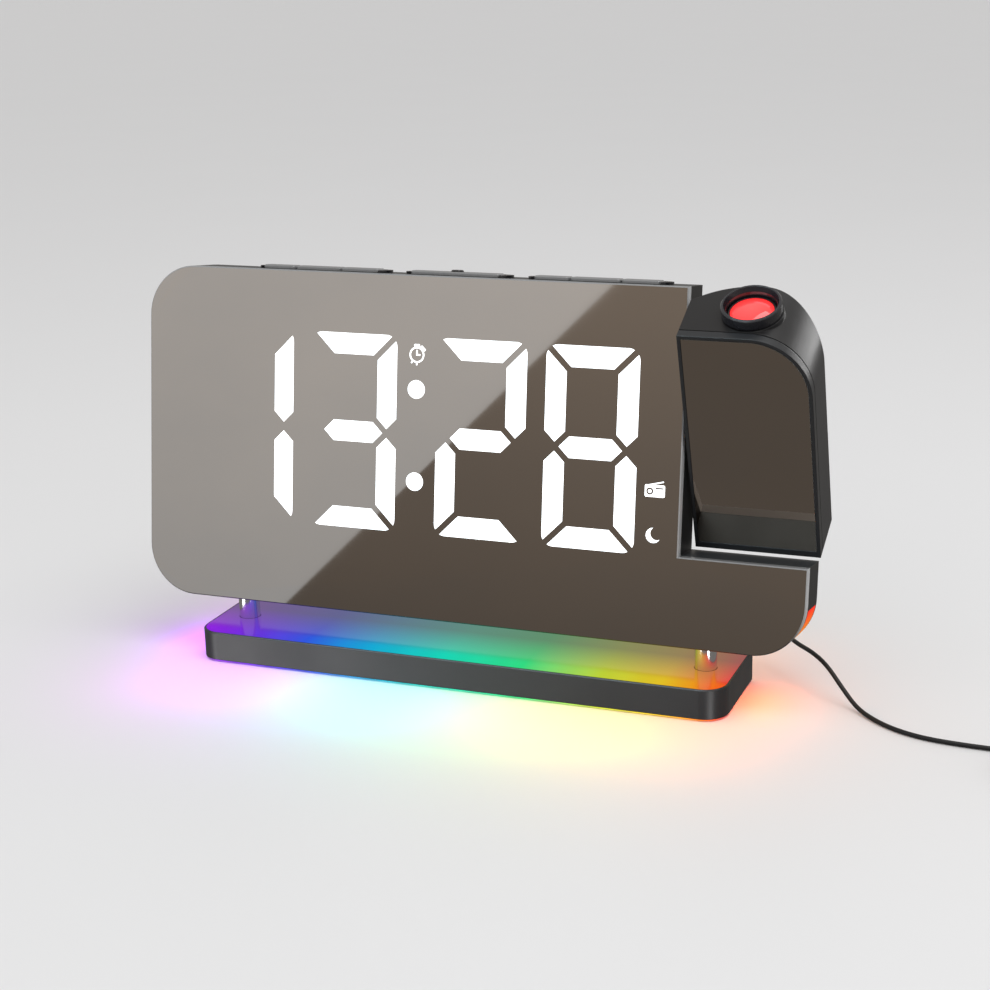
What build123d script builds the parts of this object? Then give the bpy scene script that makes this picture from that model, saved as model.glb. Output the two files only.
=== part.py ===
"""Projection alarm clock: a mirrored display housing on two posts, a slab base and a projector arm.

Millimetres, +Z up, +X to the right as the clock is read, front towards -Y. The origin is the middle
of the base's underside, on the table.

The housing leans back, so its pieces are drawn in its own directions: x across, v up the mirror from
its lower edge, and depth behind the mirror's face. The projector arm has directions of its own too.
"""
import os
from math import cos, hypot, pi, radians, sin, sqrt, tan

from build123d import *

os.makedirs("parts", exist_ok=True)

# ---------------------------------------------------------------- fits
slip = 0.1              # round a piece that is set into another one
running = 0.05          # radial, a shaft in its bearing
air = 0.4               # between a moving piece and what it passes

# ---------------------------------------------------------------- display housing
housing_tilt = 8.0      # degrees, leaning back
housing_lift = 16.35    # mirror's lower edge above the table
panel_width = 190.0
panel_height = 93.2
panel_corner = 14.0
mirror_thick = 2.5
mirror_polish = 0.3     # bevel of the mirror's edges
frame_depth = 13.3      # mirror's face to the frame's rear edge
frame_wall = 2.4
notch_width = 33.9      # room for the projector arm, upper right
notch_floor = 23.8      # floor of that notch above the mirror's lower edge

# ---------------------------------------------------------------- lit strip round the housing's lower edge
strip_thick = 1.2
strip_margin = 0.8      # frame left in front of and behind the strip
strip_reach = 12.4      # height to which the strip climbs round the corners
strip_slot_half = 60.0
strip_slot_width = 4.0
strip_board_thick = 0.8
strip_led_count = 12

# ---------------------------------------------------------------- rear cover
cover_wall = 2.0
cover_flange = 2.0
cover_inset = 6.0       # outline of the bulge inside the housing's outline
cover_back = 24.0       # mirror's face to the rear of the bulge
cover_taper = 10.0      # degrees
cover_edge = 1.2        # bevel round the rear face
well_outer = 3.4        # screw wells, radii
screw_hole = 1.4
screw_head = 2.6
screw_drop = 11.6       # upper screws below the top edge
screw_low = 12.0        # lower screws above the lower edge
screw_inset = 13.0      # outermost screws inside the housing's sides

# ---------------------------------------------------------------- display
digit_height_share = 0.572   # of the mirror's height
digit_width_share = 0.2048   # of the room that the digits have across the mirror
digit_shares = [0.1024, 0.3514, 0.6502, 0.8976]   # their middles across that room
digit_margin_left = 19.65
digit_margin_right = 11.95   # short of the notch
stroke = 5.7            # width of a segment
stroke_gap = 1.7        # dark line between two segments
digit_round = 3.2
digit_level_share = 0.539    # middle of the digits up the mirror
lit_bars = ["bc", "abgcd", "abged", "abcdefg"]     # a time of 13:28, digit by digit
colon_share = 0.5
colon_spread = 12.5
colon_radius = 2.5
mask_depth = 6.0
mask_margin = 2.6       # left of and below the digits
mask_top_margin = 1.5
mask_gap = 0.5          # to the frame in the notch
diffuser_thick = 1.2
board_thick = 1.6
icon_thick = 0.8
icon_inset = 6.8        # right-hand pictograms short of the notch
alarm_rise, radio_rise, moon_rise = 21.8, -9.3, -21.3   # from the digits' middle

# ---------------------------------------------------------------- keys in the top edge
key_depth = 4.6         # across the edge
key_proud = 1.0
key_travel = 0.5
key_centre = 7.2        # depth of the keys' middle line
key_gap = 0.35
surround_rim = 1.0
surround_proud = 0.7
key_shares = [[(0.2114, 0.2729), (0.2755, 0.3607), (0.3632, 0.4356)],   # ends, along the top edge
              [(0.4952, 0.6598)],
              [(0.7213, 0.7835), (0.7860, 0.8732), (0.8757, 0.9430)]]
surround_shares = [(0.2012, 0.4548), (0.4837, 0.6797), (0.7085, 0.9616)]
key_rib_shares = [0.1858, 0.4689, 0.6938]
key_board_shares = (0.1794, 0.9577)
key_names = [["key_left_1", "key_left_2", "key_left_3"], ["key_snooze"],
             ["key_right_1", "key_right_2", "key_right_3"]]
key_flange = 1.1        # height of the flange that keeps a key in its slot
key_board_drop = 8.3    # below the top edge
switch_size = 4.4
switch_height = 1.0

# ---------------------------------------------------------------- posts and base
post_radius = 3.0
post_spacing = 135.0
post_inset = 7.9        # post axis behind the mirror's face
base_length = 152.6
base_width = 32.0
base_corner = 6.5       # front corners
base_rear_corner = 0.8
base_edge = 0.25        # bevel round the top
base_lift = 0.6         # shell's lower edge above the table
base_height = 8.7       # top of the base above the table
base_wall = 1.7
base_deck = 1.6
plate_thick = 1.2       # glossy top plate
plate_inset = 0.5
guide_inset = 0.8       # light guide below the shell
guide_width = 2.4
guide_clear = 0.2       # light guide above the table
base_plate_thick = 1.5
pad_length, pad_width = 136.0, 17.0
weight_length, weight_width, weight_thick = 112.0, 15.0, 2.4
base_screw_at = (68.4, 8.9)

# ---------------------------------------------------------------- projector arm
arm_turn = 25.4         # degrees it is swung forward from the closed place
arm_pivot_depth = 9.0   # pivot behind the mirror's face
arm_height = 63.2       # its front, from the lower lip to the top edge
arm_below = 29.6        # lip below the pivot
arm_overhang = 0.4      # beyond the housing's side
arm_corner = 15.5
arm_side_depth = 14.4
arm_back_depth = 21.2
arm_shear = 9.1         # degrees, the ends rise towards the back
arm_wall = 1.5
bezel_depth = 2.6
bezel_border = 0.9
bezel_sill = 1.8
seam = 0.3
arm_mirror_thick = 1.4
arm_hole = 1.0          # gap between the arm and the notch's wall

# ---------------------------------------------------------------- projector optics
lens_inset = 16.6       # lens axis inside the arm's right side
lens_back = 10.75       # lens axis behind the arm's top front edge
ring_outer, ring_bore, ring_height = 7.65, 6.3, 3.0
neck_radius = 6.95
head_radius, stem_radius = 6.0, 4.9
lens_radius = 5.6
seat_rim = 0.3          # round seat of the ring, outside the ring itself

# ---------------------------------------------------------------- pivot axle
axle_radius = 2.8
axle_bore = 1.6         # the arm's wires pass through it
bush_radius = 3.9
bush_flange = 4.2
hump_size = (9.0, 13.0)  # cover's swelling over the bearing
hump_depth = 15.0
hump_wall = 1.3

# ---------------------------------------------------------------- wire aerial
wire_radius = 0.6
exit_inset = 23.0       # where the wire leaves: inside the housing's right side
exit_level = 11.5
grommet_length = 4.0
coil_reach = 86.0       # coil's middle to the right of the wire's exit
coil_y = -20.9
coil_inner, coil_outer, coil_height = 4.4, 9.9, 4.95
tip_radius, tip_length = 1.1, 7.0

# ================================================================ places and directions
lean = radians(housing_tilt)
housing_up = Vector(0, sin(lean), cos(lean))
housing_in = Vector(0, cos(lean), -sin(lean))
housing_origin = Vector(0, -post_inset * cos(lean), housing_lift)
panel_right = panel_width / 2
notch_left = panel_right - notch_width
top_edge = notch_left + panel_right


def along_top(share):
    """The x of a place on the top edge, which ends at the notch."""
    return share * top_edge - panel_right


screw_row = panel_right - screw_inset
cover_screws = [(screw_inset - panel_right + 10, panel_height - screw_drop),
                (notch_left - screw_inset - 1, panel_height - screw_drop)]
cover_screws += [(x, screw_low) for x in (-screw_row, -0.3 * screw_row, 0.3 * screw_row, screw_row)]

display_left = digit_margin_left - panel_right
display_width = notch_left - digit_margin_right - display_left
digit_width = digit_width_share * display_width
digit_height = digit_height_share * panel_height
digit_level = digit_level_share * panel_height
digit_centres = [display_left + share * display_width for share in digit_shares]
colon_x = display_left + colon_share * display_width
mask_left = display_left - mask_margin
mask_right = notch_left - frame_wall - mask_gap
mask_low = digit_level - digit_height / 2 - mask_margin
mask_top = digit_level + digit_height / 2 + mask_top_margin
alarm_icon_at = (colon_x, digit_level + alarm_rise)
radio_icon_at = (notch_left - icon_inset, digit_level + radio_rise)
moon_icon_at = (notch_left - icon_inset, digit_level + moon_rise)

key_groups = [[tuple(map(along_top, ends)) for ends in group] for group in key_shares]
surround_spans = [tuple(map(along_top, ends)) for ends in surround_shares]
key_board_left, key_board_right = map(along_top, key_board_shares)
key_board_level = panel_height - key_board_drop

arm_pivot_level = notch_floor + hypot(arm_below, arm_pivot_depth) + air
arm_right = panel_right + arm_overhang
lens_x = arm_right - lens_inset
arm_lean = radians(arm_turn - housing_tilt)
arm_up = Vector(0, -sin(arm_lean), cos(arm_lean))
arm_in = Vector(0, cos(arm_lean), sin(arm_lean))
pivot = housing_origin + housing_up * arm_pivot_level + housing_in * arm_pivot_depth
arm_origin = pivot - arm_up * arm_below - arm_in * arm_pivot_depth
arm_left = notch_left + arm_hole
arm_middle = (arm_left + arm_right) / 2
shear = radians(arm_shear)
arm_slope = arm_in * cos(shear) + arm_up * sin(shear)
lens_up = arm_up * cos(shear) - arm_in * sin(shear)
lens_origin = arm_origin + arm_up * arm_height + arm_slope * lens_back + Vector(lens_x, 0, 0)


def housing_face(depth):
    """Plane parallel to the mirror, at this depth behind its face."""
    return Plane(origin=housing_origin + housing_in * depth, x_dir=(1, 0, 0), z_dir=-housing_in)


def housing_level(level):
    """Plane across the housing, at this height up the mirror. Its y is the depth."""
    return Plane(origin=housing_origin + housing_up * level, x_dir=(1, 0, 0), z_dir=housing_up)


def arm_face(depth):
    """Plane parallel to the arm's front, moved up with the slope of the arm's ends."""
    place = arm_origin + arm_in * depth + arm_up * (depth * tan(shear))
    return Plane(origin=place, x_dir=(1, 0, 0), z_dir=-arm_in)


def arm_level(level):
    """Plane across the arm. Its y is the depth behind the arm's front."""
    return Plane(origin=arm_origin + arm_up * level, x_dir=(1, 0, 0), z_dir=arm_up)


def lens_face(height):
    """Plane across the lens axis, at this height above the arm's top."""
    return Plane(origin=lens_origin + lens_up * height, x_dir=(1, 0, 0), z_dir=lens_up)


def pivot_face(x):
    """Plane across the pivot axis, at this x."""
    return Plane(origin=(x, pivot.Y, pivot.Z), x_dir=(0, 1, 0), z_dir=(1, 0, 0))


def table(height):
    return Plane.XY.offset(height)


def finish(piece, name, colour):
    """Name a finished piece and write it."""
    piece.part.label = name
    piece.part.color = colour
    export_step(piece.part, f"parts/{name}.step")


satin_black = Color(0.07, 0.07, 0.075)
gloss_black = Color(0.03, 0.03, 0.035)
silver = Color(0.62, 0.63, 0.65)
chrome = Color(0.85, 0.85, 0.87)
smoky_mirror = Color(0.42, 0.39, 0.36)
milky = Color(0.95, 0.95, 0.97)
board_green = Color(0.05, 0.28, 0.16)
steel = Color(0.6, 0.6, 0.62)
brass = Color(0.78, 0.62, 0.3)
red_glow = Color(0.95, 0.15, 0.12)


# ================================================================ outlines
def housing_outline(inset=0.0):
    """Rounded plate with the arm's notch cut from its upper right corner."""
    with BuildSketch() as outline:
        with Locations((0, panel_height / 2)):
            RectangleRounded(panel_width - 2 * inset, panel_height - 2 * inset, panel_corner - inset)
        with Locations((notch_left - inset, notch_floor - inset)):
            Rectangle(panel_width, panel_height, align=(Align.MIN, Align.MIN), mode=Mode.SUBTRACT)
    return outline.sketch


def base_outline(inset=0.0):
    """The slab from above: round front corners and nearly square rear ones."""
    with BuildSketch() as outline:
        Rectangle(base_length - 2 * inset, base_width - 2 * inset)
        fillet(outline.vertices().group_by(Axis.Y)[0], base_corner - inset)
        if inset < base_rear_corner:
            fillet(outline.vertices().group_by(Axis.Y)[-1], base_rear_corner - inset)
    return outline.sketch


def strip_band(outer, inner):
    """Band along the lower edge and up round both lower corners."""
    with BuildSketch() as band:
        add(housing_outline(outer))
        add(housing_outline(inner), mode=Mode.SUBTRACT)
        with Locations((0, strip_reach)):
            Rectangle(panel_width, panel_height, align=(Align.CENTER, Align.MIN), mode=Mode.SUBTRACT)
    return band.sketch


def seven_segments(names, ease=0.0):
    """One digit about its own middle, with mitred segments. ease widens each of them."""
    half_w, half_h, width = digit_width / 2 + ease, digit_height / 2 + ease, stroke + 2 * ease
    shift = stroke_gap * sqrt(2) / 2 - ease * sqrt(2) + ease
    top = [(shift - half_w, half_h), (half_w - shift, half_h),
           (half_w - width - shift, half_h - width), (width + shift - half_w, half_h - width)]
    side = [(half_w, half_h - shift), (half_w, width / 2 + shift), (half_w - width / 2, shift),
            (half_w - width, width / 2 + shift), (half_w - width, half_h - width - shift)]
    bar = [(half_w - width / 2 - shift, 0), (half_w - width - shift, -width / 2),
           (width + shift - half_w, -width / 2), (width / 2 + shift - half_w, 0),
           (width + shift - half_w, width / 2), (half_w - width - shift, width / 2)]
    places = {"a": (top, 1, 1), "b": (side, 1, 1), "c": (side, 1, -1), "d": (top, 1, -1),
              "e": (side, -1, -1), "f": (side, -1, 1), "g": (bar, 1, 1)}
    with BuildSketch() as digit:
        for name in names:
            corners, across, up = places[name]
            Polygon(*[(across * x, up * y) for x, y in corners], align=None)
        RectangleRounded(2 * half_w, 2 * half_h, digit_round, mode=Mode.INTERSECT)
    return digit.sketch


def alarm_icon():
    """Twin-bell clock: ring, hands, bells and feet."""
    ring, line = 2.15, 0.42
    with BuildSketch() as icon:
        Circle(ring)
        Circle(ring - line, mode=Mode.SUBTRACT)
        with Locations((0, 0.55)):
            Rectangle(line, 1.5)
        with Locations((0.4, 0)):
            Rectangle(1.2, line)
        with PolarLocations(ring + 0.35, 2, start_angle=45, angular_range=90):
            RectangleRounded(0.75, 1.7, 0.3)
        with PolarLocations(ring + 0.15, 2, start_angle=-125, angular_range=70):
            Rectangle(1.0, line)
    return icon.sketch


def radio_icon():
    """Small set with a round speaker, a dial slot and a rod."""
    with BuildSketch() as icon:
        with Locations((0, -0.4)):
            RectangleRounded(5.4, 3.2, 0.4)
        with Locations((-1.35, -0.5)):
            Circle(0.95, mode=Mode.SUBTRACT)
            Circle(0.5)
        with Locations((1.2, 0.3)):
            Rectangle(2.0, 0.4, mode=Mode.SUBTRACT)
        with Locations(Location((0.2, 1.55), 14)):
            Rectangle(4.4, 0.35)
    return icon.sketch


def moon_icon():
    with BuildSketch() as icon:
        Circle(2.0)
        with Locations((0.95, 0.55)):
            Circle(1.75, mode=Mode.SUBTRACT)
    return icon.sketch


def arm_outline(inset=0.0, sill=None):
    """The arm from the front: square at the pivot's side, with one large round corner."""
    low = inset if sill is None else sill
    with BuildSketch() as outline:
        with Locations((arm_left + inset, low)):
            Rectangle(arm_right - arm_left - 2 * inset, arm_height - inset - low,
                      align=(Align.MIN, Align.MIN))
        corner = outline.vertices().group_by(Axis.X)[-1].sort_by(Axis.Y)[-1]
        fillet(corner, arm_corner - inset)
    return outline.sketch


def arm_section(inset, front):
    """The arm from above: flat front, straight sides and a bowed back."""
    left, right = arm_left + inset, arm_right - inset
    side, back = arm_side_depth - inset / 2, arm_back_depth - inset
    with BuildSketch() as section:
        with BuildLine():
            Polyline((left, side), (left, front), (right, front), (right, side))
            ThreePointArc((right, side), (arm_middle, back), (left, side))
        make_face()
    return section.sketch


# ================================================================ mirror plate and front frame
with BuildPart() as mirror_panel:
    with BuildSketch(housing_face(0)):
        add(housing_outline())
    extrude(amount=-mirror_thick)
    front = mirror_panel.faces().filter_by(housing_face(0)).sort_by(Axis.Y)[0]
    chamfer(front.edges(), mirror_polish)
finish(mirror_panel, "mirror_panel", smoky_mirror)

inner_top = panel_height - frame_wall
post_places = [(-post_spacing / 2, 0), (post_spacing / 2, 0)]
post_top = housing_lift + 3.4
post_seat_level = 8.2
strip_front, strip_back = mirror_thick + strip_margin, frame_depth - strip_margin
strip_middle = (strip_front + strip_back) / 2
boss_radius = 2.5
boss_top = frame_depth - cover_flange
key_slot_ends = [(group[0][0] - key_gap, group[-1][1] + key_gap) for group in key_groups]

with BuildPart() as front_frame:
    with BuildSketch(housing_face(mirror_thick)):
        add(housing_outline())
        add(housing_outline(frame_wall), mode=Mode.SUBTRACT)
    extrude(amount=-(frame_depth - mirror_thick))
    # bosses for the rear cover's screws
    with BuildSketch(housing_face(mirror_thick)):
        with Locations(cover_screws):
            Circle(boss_radius)
    extrude(amount=-(boss_top - mirror_thick))
    # webs from the bosses to the nearest wall
    with BuildSketch(housing_face(mirror_thick)):
        for x, v in cover_screws:
            web_end = 1.8 if v < panel_height / 2 else panel_height - 1.8
            with Locations((x, (v + web_end) / 2)):
                Rectangle(4.0, abs(web_end - v))
    extrude(amount=-1.2)
    # blocks that the posts stand in
    with BuildSketch(housing_face(strip_front + 0.2)):
        with Locations([(x, frame_wall) for x, _ in post_places]):
            Rectangle(10.0, post_seat_level - frame_wall, align=(Align.CENTER, Align.MIN))
    extrude(amount=-(boss_top - strip_front - 0.3))
    # ribs that hold the key board under the top edge
    with BuildSketch(housing_level(key_board_level + board_thick)):
        with Locations([(along_top(share), key_centre) for share in key_rib_shares]):
            Rectangle(2.0, key_depth + 1.4)
    extrude(amount=inner_top - key_board_level - board_thick)
    # bed of the lit strip, with a slot for its light
    with BuildSketch(housing_face(strip_front)):
        add(strip_band(0, strip_thick + slip))
    extrude(amount=-(strip_back - strip_front), mode=Mode.SUBTRACT)
    with BuildSketch(housing_level(0)):
        with Locations((0, strip_middle)):
            SlotOverall(2 * strip_slot_half + 2, strip_slot_width)
    extrude(amount=frame_wall + 1, mode=Mode.SUBTRACT)
    # openings for the keys
    with BuildSketch(housing_level(inner_top - 1)):
        for low, high in key_slot_ends:
            with Locations(((low + high) / 2, key_centre)):
                Rectangle(high - low, key_depth + 2 * key_gap)
    extrude(amount=frame_wall + 2, mode=Mode.SUBTRACT)
    # seats of the posts, straight up, with a step for the screw's head
    with BuildSketch(table(housing_lift - 6)):
        with Locations(post_places):
            Circle(post_radius + slip)
    extrude(amount=post_top - housing_lift + 6, mode=Mode.SUBTRACT)
    with BuildSketch(table(housing_lift)):
        with Locations(post_places):
            Circle(screw_hole)
    extrude(amount=12, mode=Mode.SUBTRACT)
    with BuildSketch(table(post_top + 1.6)):
        with Locations(post_places):
            Circle(screw_head)
    extrude(amount=10, mode=Mode.SUBTRACT)
    # pilot holes of the bosses
    with BuildSketch(housing_face(boss_top)):
        with Locations(cover_screws):
            Circle(0.9)
    extrude(amount=6, mode=Mode.SUBTRACT)
    # bearing hole of the projector arm
    with BuildSketch(pivot_face(notch_left - frame_wall - 1)):
        Circle(bush_radius)
    extrude(amount=frame_wall + 2, mode=Mode.SUBTRACT)
finish(front_frame, "front_frame", satin_black)

with BuildPart() as housing_light_strip:
    with BuildSketch(housing_face(strip_front + slip)):
        add(strip_band(0, strip_thick))
    extrude(amount=-(strip_back - strip_front - 2 * slip))
    with BuildSketch(table(0)):
        with Locations(post_places):
            Circle(post_radius + slip)
    extrude(amount=housing_lift + 5, mode=Mode.SUBTRACT)
finish(housing_light_strip, "housing_light_strip", milky)

led_pitch = 2 * strip_slot_half / strip_led_count
with BuildPart() as housing_led_strip:
    with BuildSketch(housing_level(frame_wall)):
        with Locations((0, strip_middle)):
            Rectangle(2 * strip_slot_half - 2, 6.4)
    extrude(amount=strip_board_thick)
    with BuildSketch(housing_level(frame_wall - 0.9)):
        with Locations((0, strip_middle)):
            with GridLocations(led_pitch, 1, strip_led_count, 1):
                Rectangle(3.0, 2.6)
    extrude(amount=0.9)
finish(housing_led_strip, "housing_led_strip", board_green)

# ================================================================ display
digit_places = [(x, digit_level) for x in digit_centres]
icon_sketches = [(alarm_icon(), alarm_icon_at), (radio_icon(), radio_icon_at), (moon_icon(), moon_icon_at)]
colon_places = [(colon_x, digit_level - colon_spread), (colon_x, digit_level + colon_spread)]

with BuildPart() as display_mask:
    with BuildSketch(housing_face(mirror_thick)):
        with Locations(((mask_left + mask_right) / 2, (mask_low + mask_top) / 2)):
            RectangleRounded(mask_right - mask_left, mask_top - mask_low, 2)
        # clear of the bearing in the notch's wall
        with Locations((notch_left - frame_wall, arm_pivot_level)):
            Rectangle(12, 2 * bush_flange + 3, mode=Mode.SUBTRACT)
    extrude(amount=-mask_depth)
    with BuildSketch(housing_face(mirror_thick)):
        for place in digit_places:
            with Locations(place):
                add(seven_segments("abcdefg", slip))
        with Locations(colon_places):
            Circle(colon_radius + slip)
    extrude(amount=-mask_depth, mode=Mode.SUBTRACT)
    with BuildSketch(housing_face(mirror_thick)):
        with Locations([place for _, place in icon_sketches]):
            Rectangle(6.6, 6.6)
    extrude(amount=-icon_thick, mode=Mode.SUBTRACT)
    with BuildSketch(housing_face(mirror_thick)):
        with Locations([place for _, place in icon_sketches]):
            Circle(1.2)
    extrude(amount=-mask_depth, mode=Mode.SUBTRACT)
finish(display_mask, "display_mask", gloss_black)

with BuildPart() as lit_segments:
    with BuildSketch(housing_face(mirror_thick)):
        for place, lit in zip(digit_places, lit_bars):
            with Locations(place):
                add(seven_segments(lit))
    extrude(amount=-diffuser_thick)
finish(lit_segments, "lit_segments", milky)

with BuildPart() as unlit_segments:
    with BuildSketch(housing_face(mirror_thick)):
        for place, lit in zip(digit_places, lit_bars):
            resting = [name for name in "abcdefg" if name not in lit]
            if resting:
                with Locations(place):
                    add(seven_segments(resting))
    extrude(amount=-diffuser_thick)
finish(unlit_segments, "unlit_segments", Color(0.5, 0.5, 0.52))

with BuildPart() as indicator_lights:
    with BuildSketch(housing_face(mirror_thick)):
        with Locations(colon_places):
            Circle(colon_radius)
    extrude(amount=-diffuser_thick)
    with BuildSketch(housing_face(mirror_thick)):
        for icon, place in icon_sketches:
            with Locations(place):
                add(icon)
    extrude(amount=-icon_thick)
finish(indicator_lights, "indicator_lights", milky)

board_front = mirror_thick + mask_depth
with BuildPart() as display_board:
    with BuildSketch(housing_face(board_front)):
        with Locations(((mask_left + mask_right) / 2, (mask_low + mask_top) / 2)):
            Rectangle(mask_right - mask_left, mask_top - mask_low)
        with Locations((notch_left - frame_wall, arm_pivot_level)):
            Rectangle(12, 2 * bush_flange + 3, mode=Mode.SUBTRACT)
    extrude(amount=-board_thick)
finish(display_board, "display_board", board_green)

half_stroke = stroke / 2
led_spots = [(0, digit_height / 2 - half_stroke), (0, 0), (0, half_stroke - digit_height / 2)]
led_spots += [(side * (digit_width / 2 - half_stroke), level * digit_height / 4)
              for side in (-1, 1) for level in (-1, 1)]
with BuildPart() as display_leds:
    with BuildSketch(housing_face(board_front)):
        for x, v in digit_places:
            with Locations([(x + dx, v + dv) for dx, dv in led_spots]):
                Rectangle(2.0, 2.0)
        with Locations(colon_places):
            Rectangle(2.0, 2.0)
    extrude(amount=0.8)
finish(display_leds, "display_leds", milky)

main_front = board_front + board_thick + 2.4
main_from_left, main_from_notch = 57.0, 15.1
main_left, main_right = main_from_left - panel_right, notch_left - main_from_notch
main_centre, main_size = ((main_left + main_right) / 2, 36.0), (main_right - main_left, 40.0)
spacer_spots = [(main_centre[0] + sx * (main_size[0] / 2 - 4), main_centre[1] + sy * (main_size[1] / 2 - 4))
                for sx in (-1, 1) for sy in (-1, 1)]
with BuildPart() as board_spacers:
    with BuildSketch(housing_face(board_front + board_thick)):
        with Locations(spacer_spots):
            RegularPolygon(2.5, 6)
    extrude(amount=-(main_front - board_front - board_thick))
finish(board_spacers, "board_spacers", brass)

main_back = main_front + board_thick
# chips: place as a share of the board's half size, size, height
chips = [((-0.62, 0.3), (10, 10), 1.6), ((-0.19, 0.4), (7, 9), 1.5), ((0.29, 0.5), (5, 5), 1.2),
         ((-0.81, -0.5), (6, 4), 2.0), ((0.71, -0.4), (8, 3.5), 3.4), ((0.62, 0.5), (4, 8), 1.8)]
with BuildPart() as main_board:
    with BuildSketch(housing_face(main_front)):
        with Locations(main_centre):
            RectangleRounded(*main_size, 1.5)
    extrude(amount=-board_thick)
    for (across, rise), size, tall in chips:
        with BuildSketch(housing_face(main_back)):
            with Locations((main_centre[0] + across * main_size[0] / 2,
                            main_centre[1] + rise * main_size[1] / 2)):
                Rectangle(*size)
        extrude(amount=-tall)
finish(main_board, "main_board", board_green)

# ================================================================ keys, their surrounds and switches
with BuildPart() as key_surrounds:
    for (low, high), (slot_low, slot_high) in zip(surround_spans, key_slot_ends):
        with BuildSketch(housing_level(panel_height)):
            with Locations(((low + high) / 2, key_centre)):
                SlotOverall(high - low, key_depth + 2 * key_gap + 2 * surround_rim)
            with Locations(((slot_low + slot_high) / 2, key_centre)):
                Rectangle(slot_high - slot_low, key_depth + 2 * key_gap, mode=Mode.SUBTRACT)
        extrude(amount=surround_proud)
finish(key_surrounds, "key_surrounds", gloss_black)

key_bottom = inner_top - air
for names, group in zip(key_names, key_groups):
    for name, (low, high) in zip(names, group):
        middle, length = (low + high) / 2, high - low
        with BuildPart() as key:
            with BuildSketch(housing_level(key_bottom)):
                with Locations((middle, key_centre)):
                    RectangleRounded(length, key_depth, 0.8)
            extrude(amount=panel_height + key_proud - key_bottom)
            crown = key.faces().sort_by(Axis.Z)[-1]
            chamfer(crown.edges(), 0.35)
            with BuildSketch(housing_level(key_bottom - key_flange)):
                with Locations((middle, key_centre)):
                    Rectangle(length, key_depth + 1.6)
            extrude(amount=key_flange)
            with BuildSketch(housing_level(key_bottom - key_flange)):
                with Locations((middle, key_centre)):
                    Rectangle(3.0, 3.0)
            extrude(amount=-(key_bottom - key_flange - key_board_level - board_thick - switch_height
                             - 0.3 - key_travel - air))
        finish(key, name, silver)

snooze_middle = sum(key_groups[1][0]) / 2
with BuildPart() as snooze_dot:
    with BuildSketch(housing_level(panel_height + key_proud)):
        with Locations((snooze_middle, key_centre)):
            Circle(1.7)
    extrude(amount=0.5)
    chamfer(snooze_dot.faces().sort_by(Axis.Z)[-1].edges(), 0.25)
finish(snooze_dot, "snooze_dot", gloss_black)

switch_spots = [((low + high) / 2, key_centre) for group in key_groups for low, high in group]
with BuildPart() as key_board:
    with BuildSketch(housing_level(key_board_level)):
        with Locations(((key_board_left + key_board_right) / 2, key_centre)):
            Rectangle(key_board_right - key_board_left, key_depth + 1.4)
    extrude(amount=board_thick)
    with BuildSketch(housing_level(key_board_level + board_thick)):
        with Locations(switch_spots):
            Rectangle(switch_size, switch_size)
    extrude(amount=switch_height)
    with BuildSketch(housing_level(key_board_level + board_thick + switch_height)):
        with Locations(switch_spots):
            Circle(1.1)
    extrude(amount=0.3)
finish(key_board, "key_board", board_green)

# ================================================================ rear cover and what it carries
speaker_from_left, speaker_level, speaker_radius = 31.0, 46.0, 13.5
speaker_centre = (speaker_from_left - panel_right, speaker_level)
socket_level = 25.0
inlet_centre, outlet_centre = (main_left + 18, socket_level), (main_left + 44, socket_level)
outlet_size = (13.2, 5.8)
cell_across, cell_from_top = 20.0, 25.2
cell_centre, cell_radius, cell_thick = (cell_across, panel_height - cell_from_top), 10.0, 3.2
door_size, door_thick, door_corner = (26.0, 25.0), 1.4, 2.0
door_screw_at = (cell_centre[0] + door_size[0] / 2 - 2.4, cell_centre[1] + door_size[1] / 2 - 2.4)
cover_inner_back = cover_back - cover_wall
bulge = cover_back - frame_depth
hump_place = (notch_left - frame_wall - slip - hump_size[0] / 2, arm_pivot_level)

with BuildPart() as cover_room:
    with BuildSketch(housing_face(boss_top)):
        add(housing_outline(cover_inset + cover_wall))
    extrude(amount=-(cover_inner_back - boss_top), taper=cover_taper * 0.8)
    with BuildSketch(housing_face(boss_top)):
        with Locations((hump_place[0] + hump_wall, hump_place[1])):
            Rectangle(hump_size[0], hump_size[1] - 2 * hump_wall)
    extrude(amount=-(hump_depth - hump_wall - boss_top))

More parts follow.
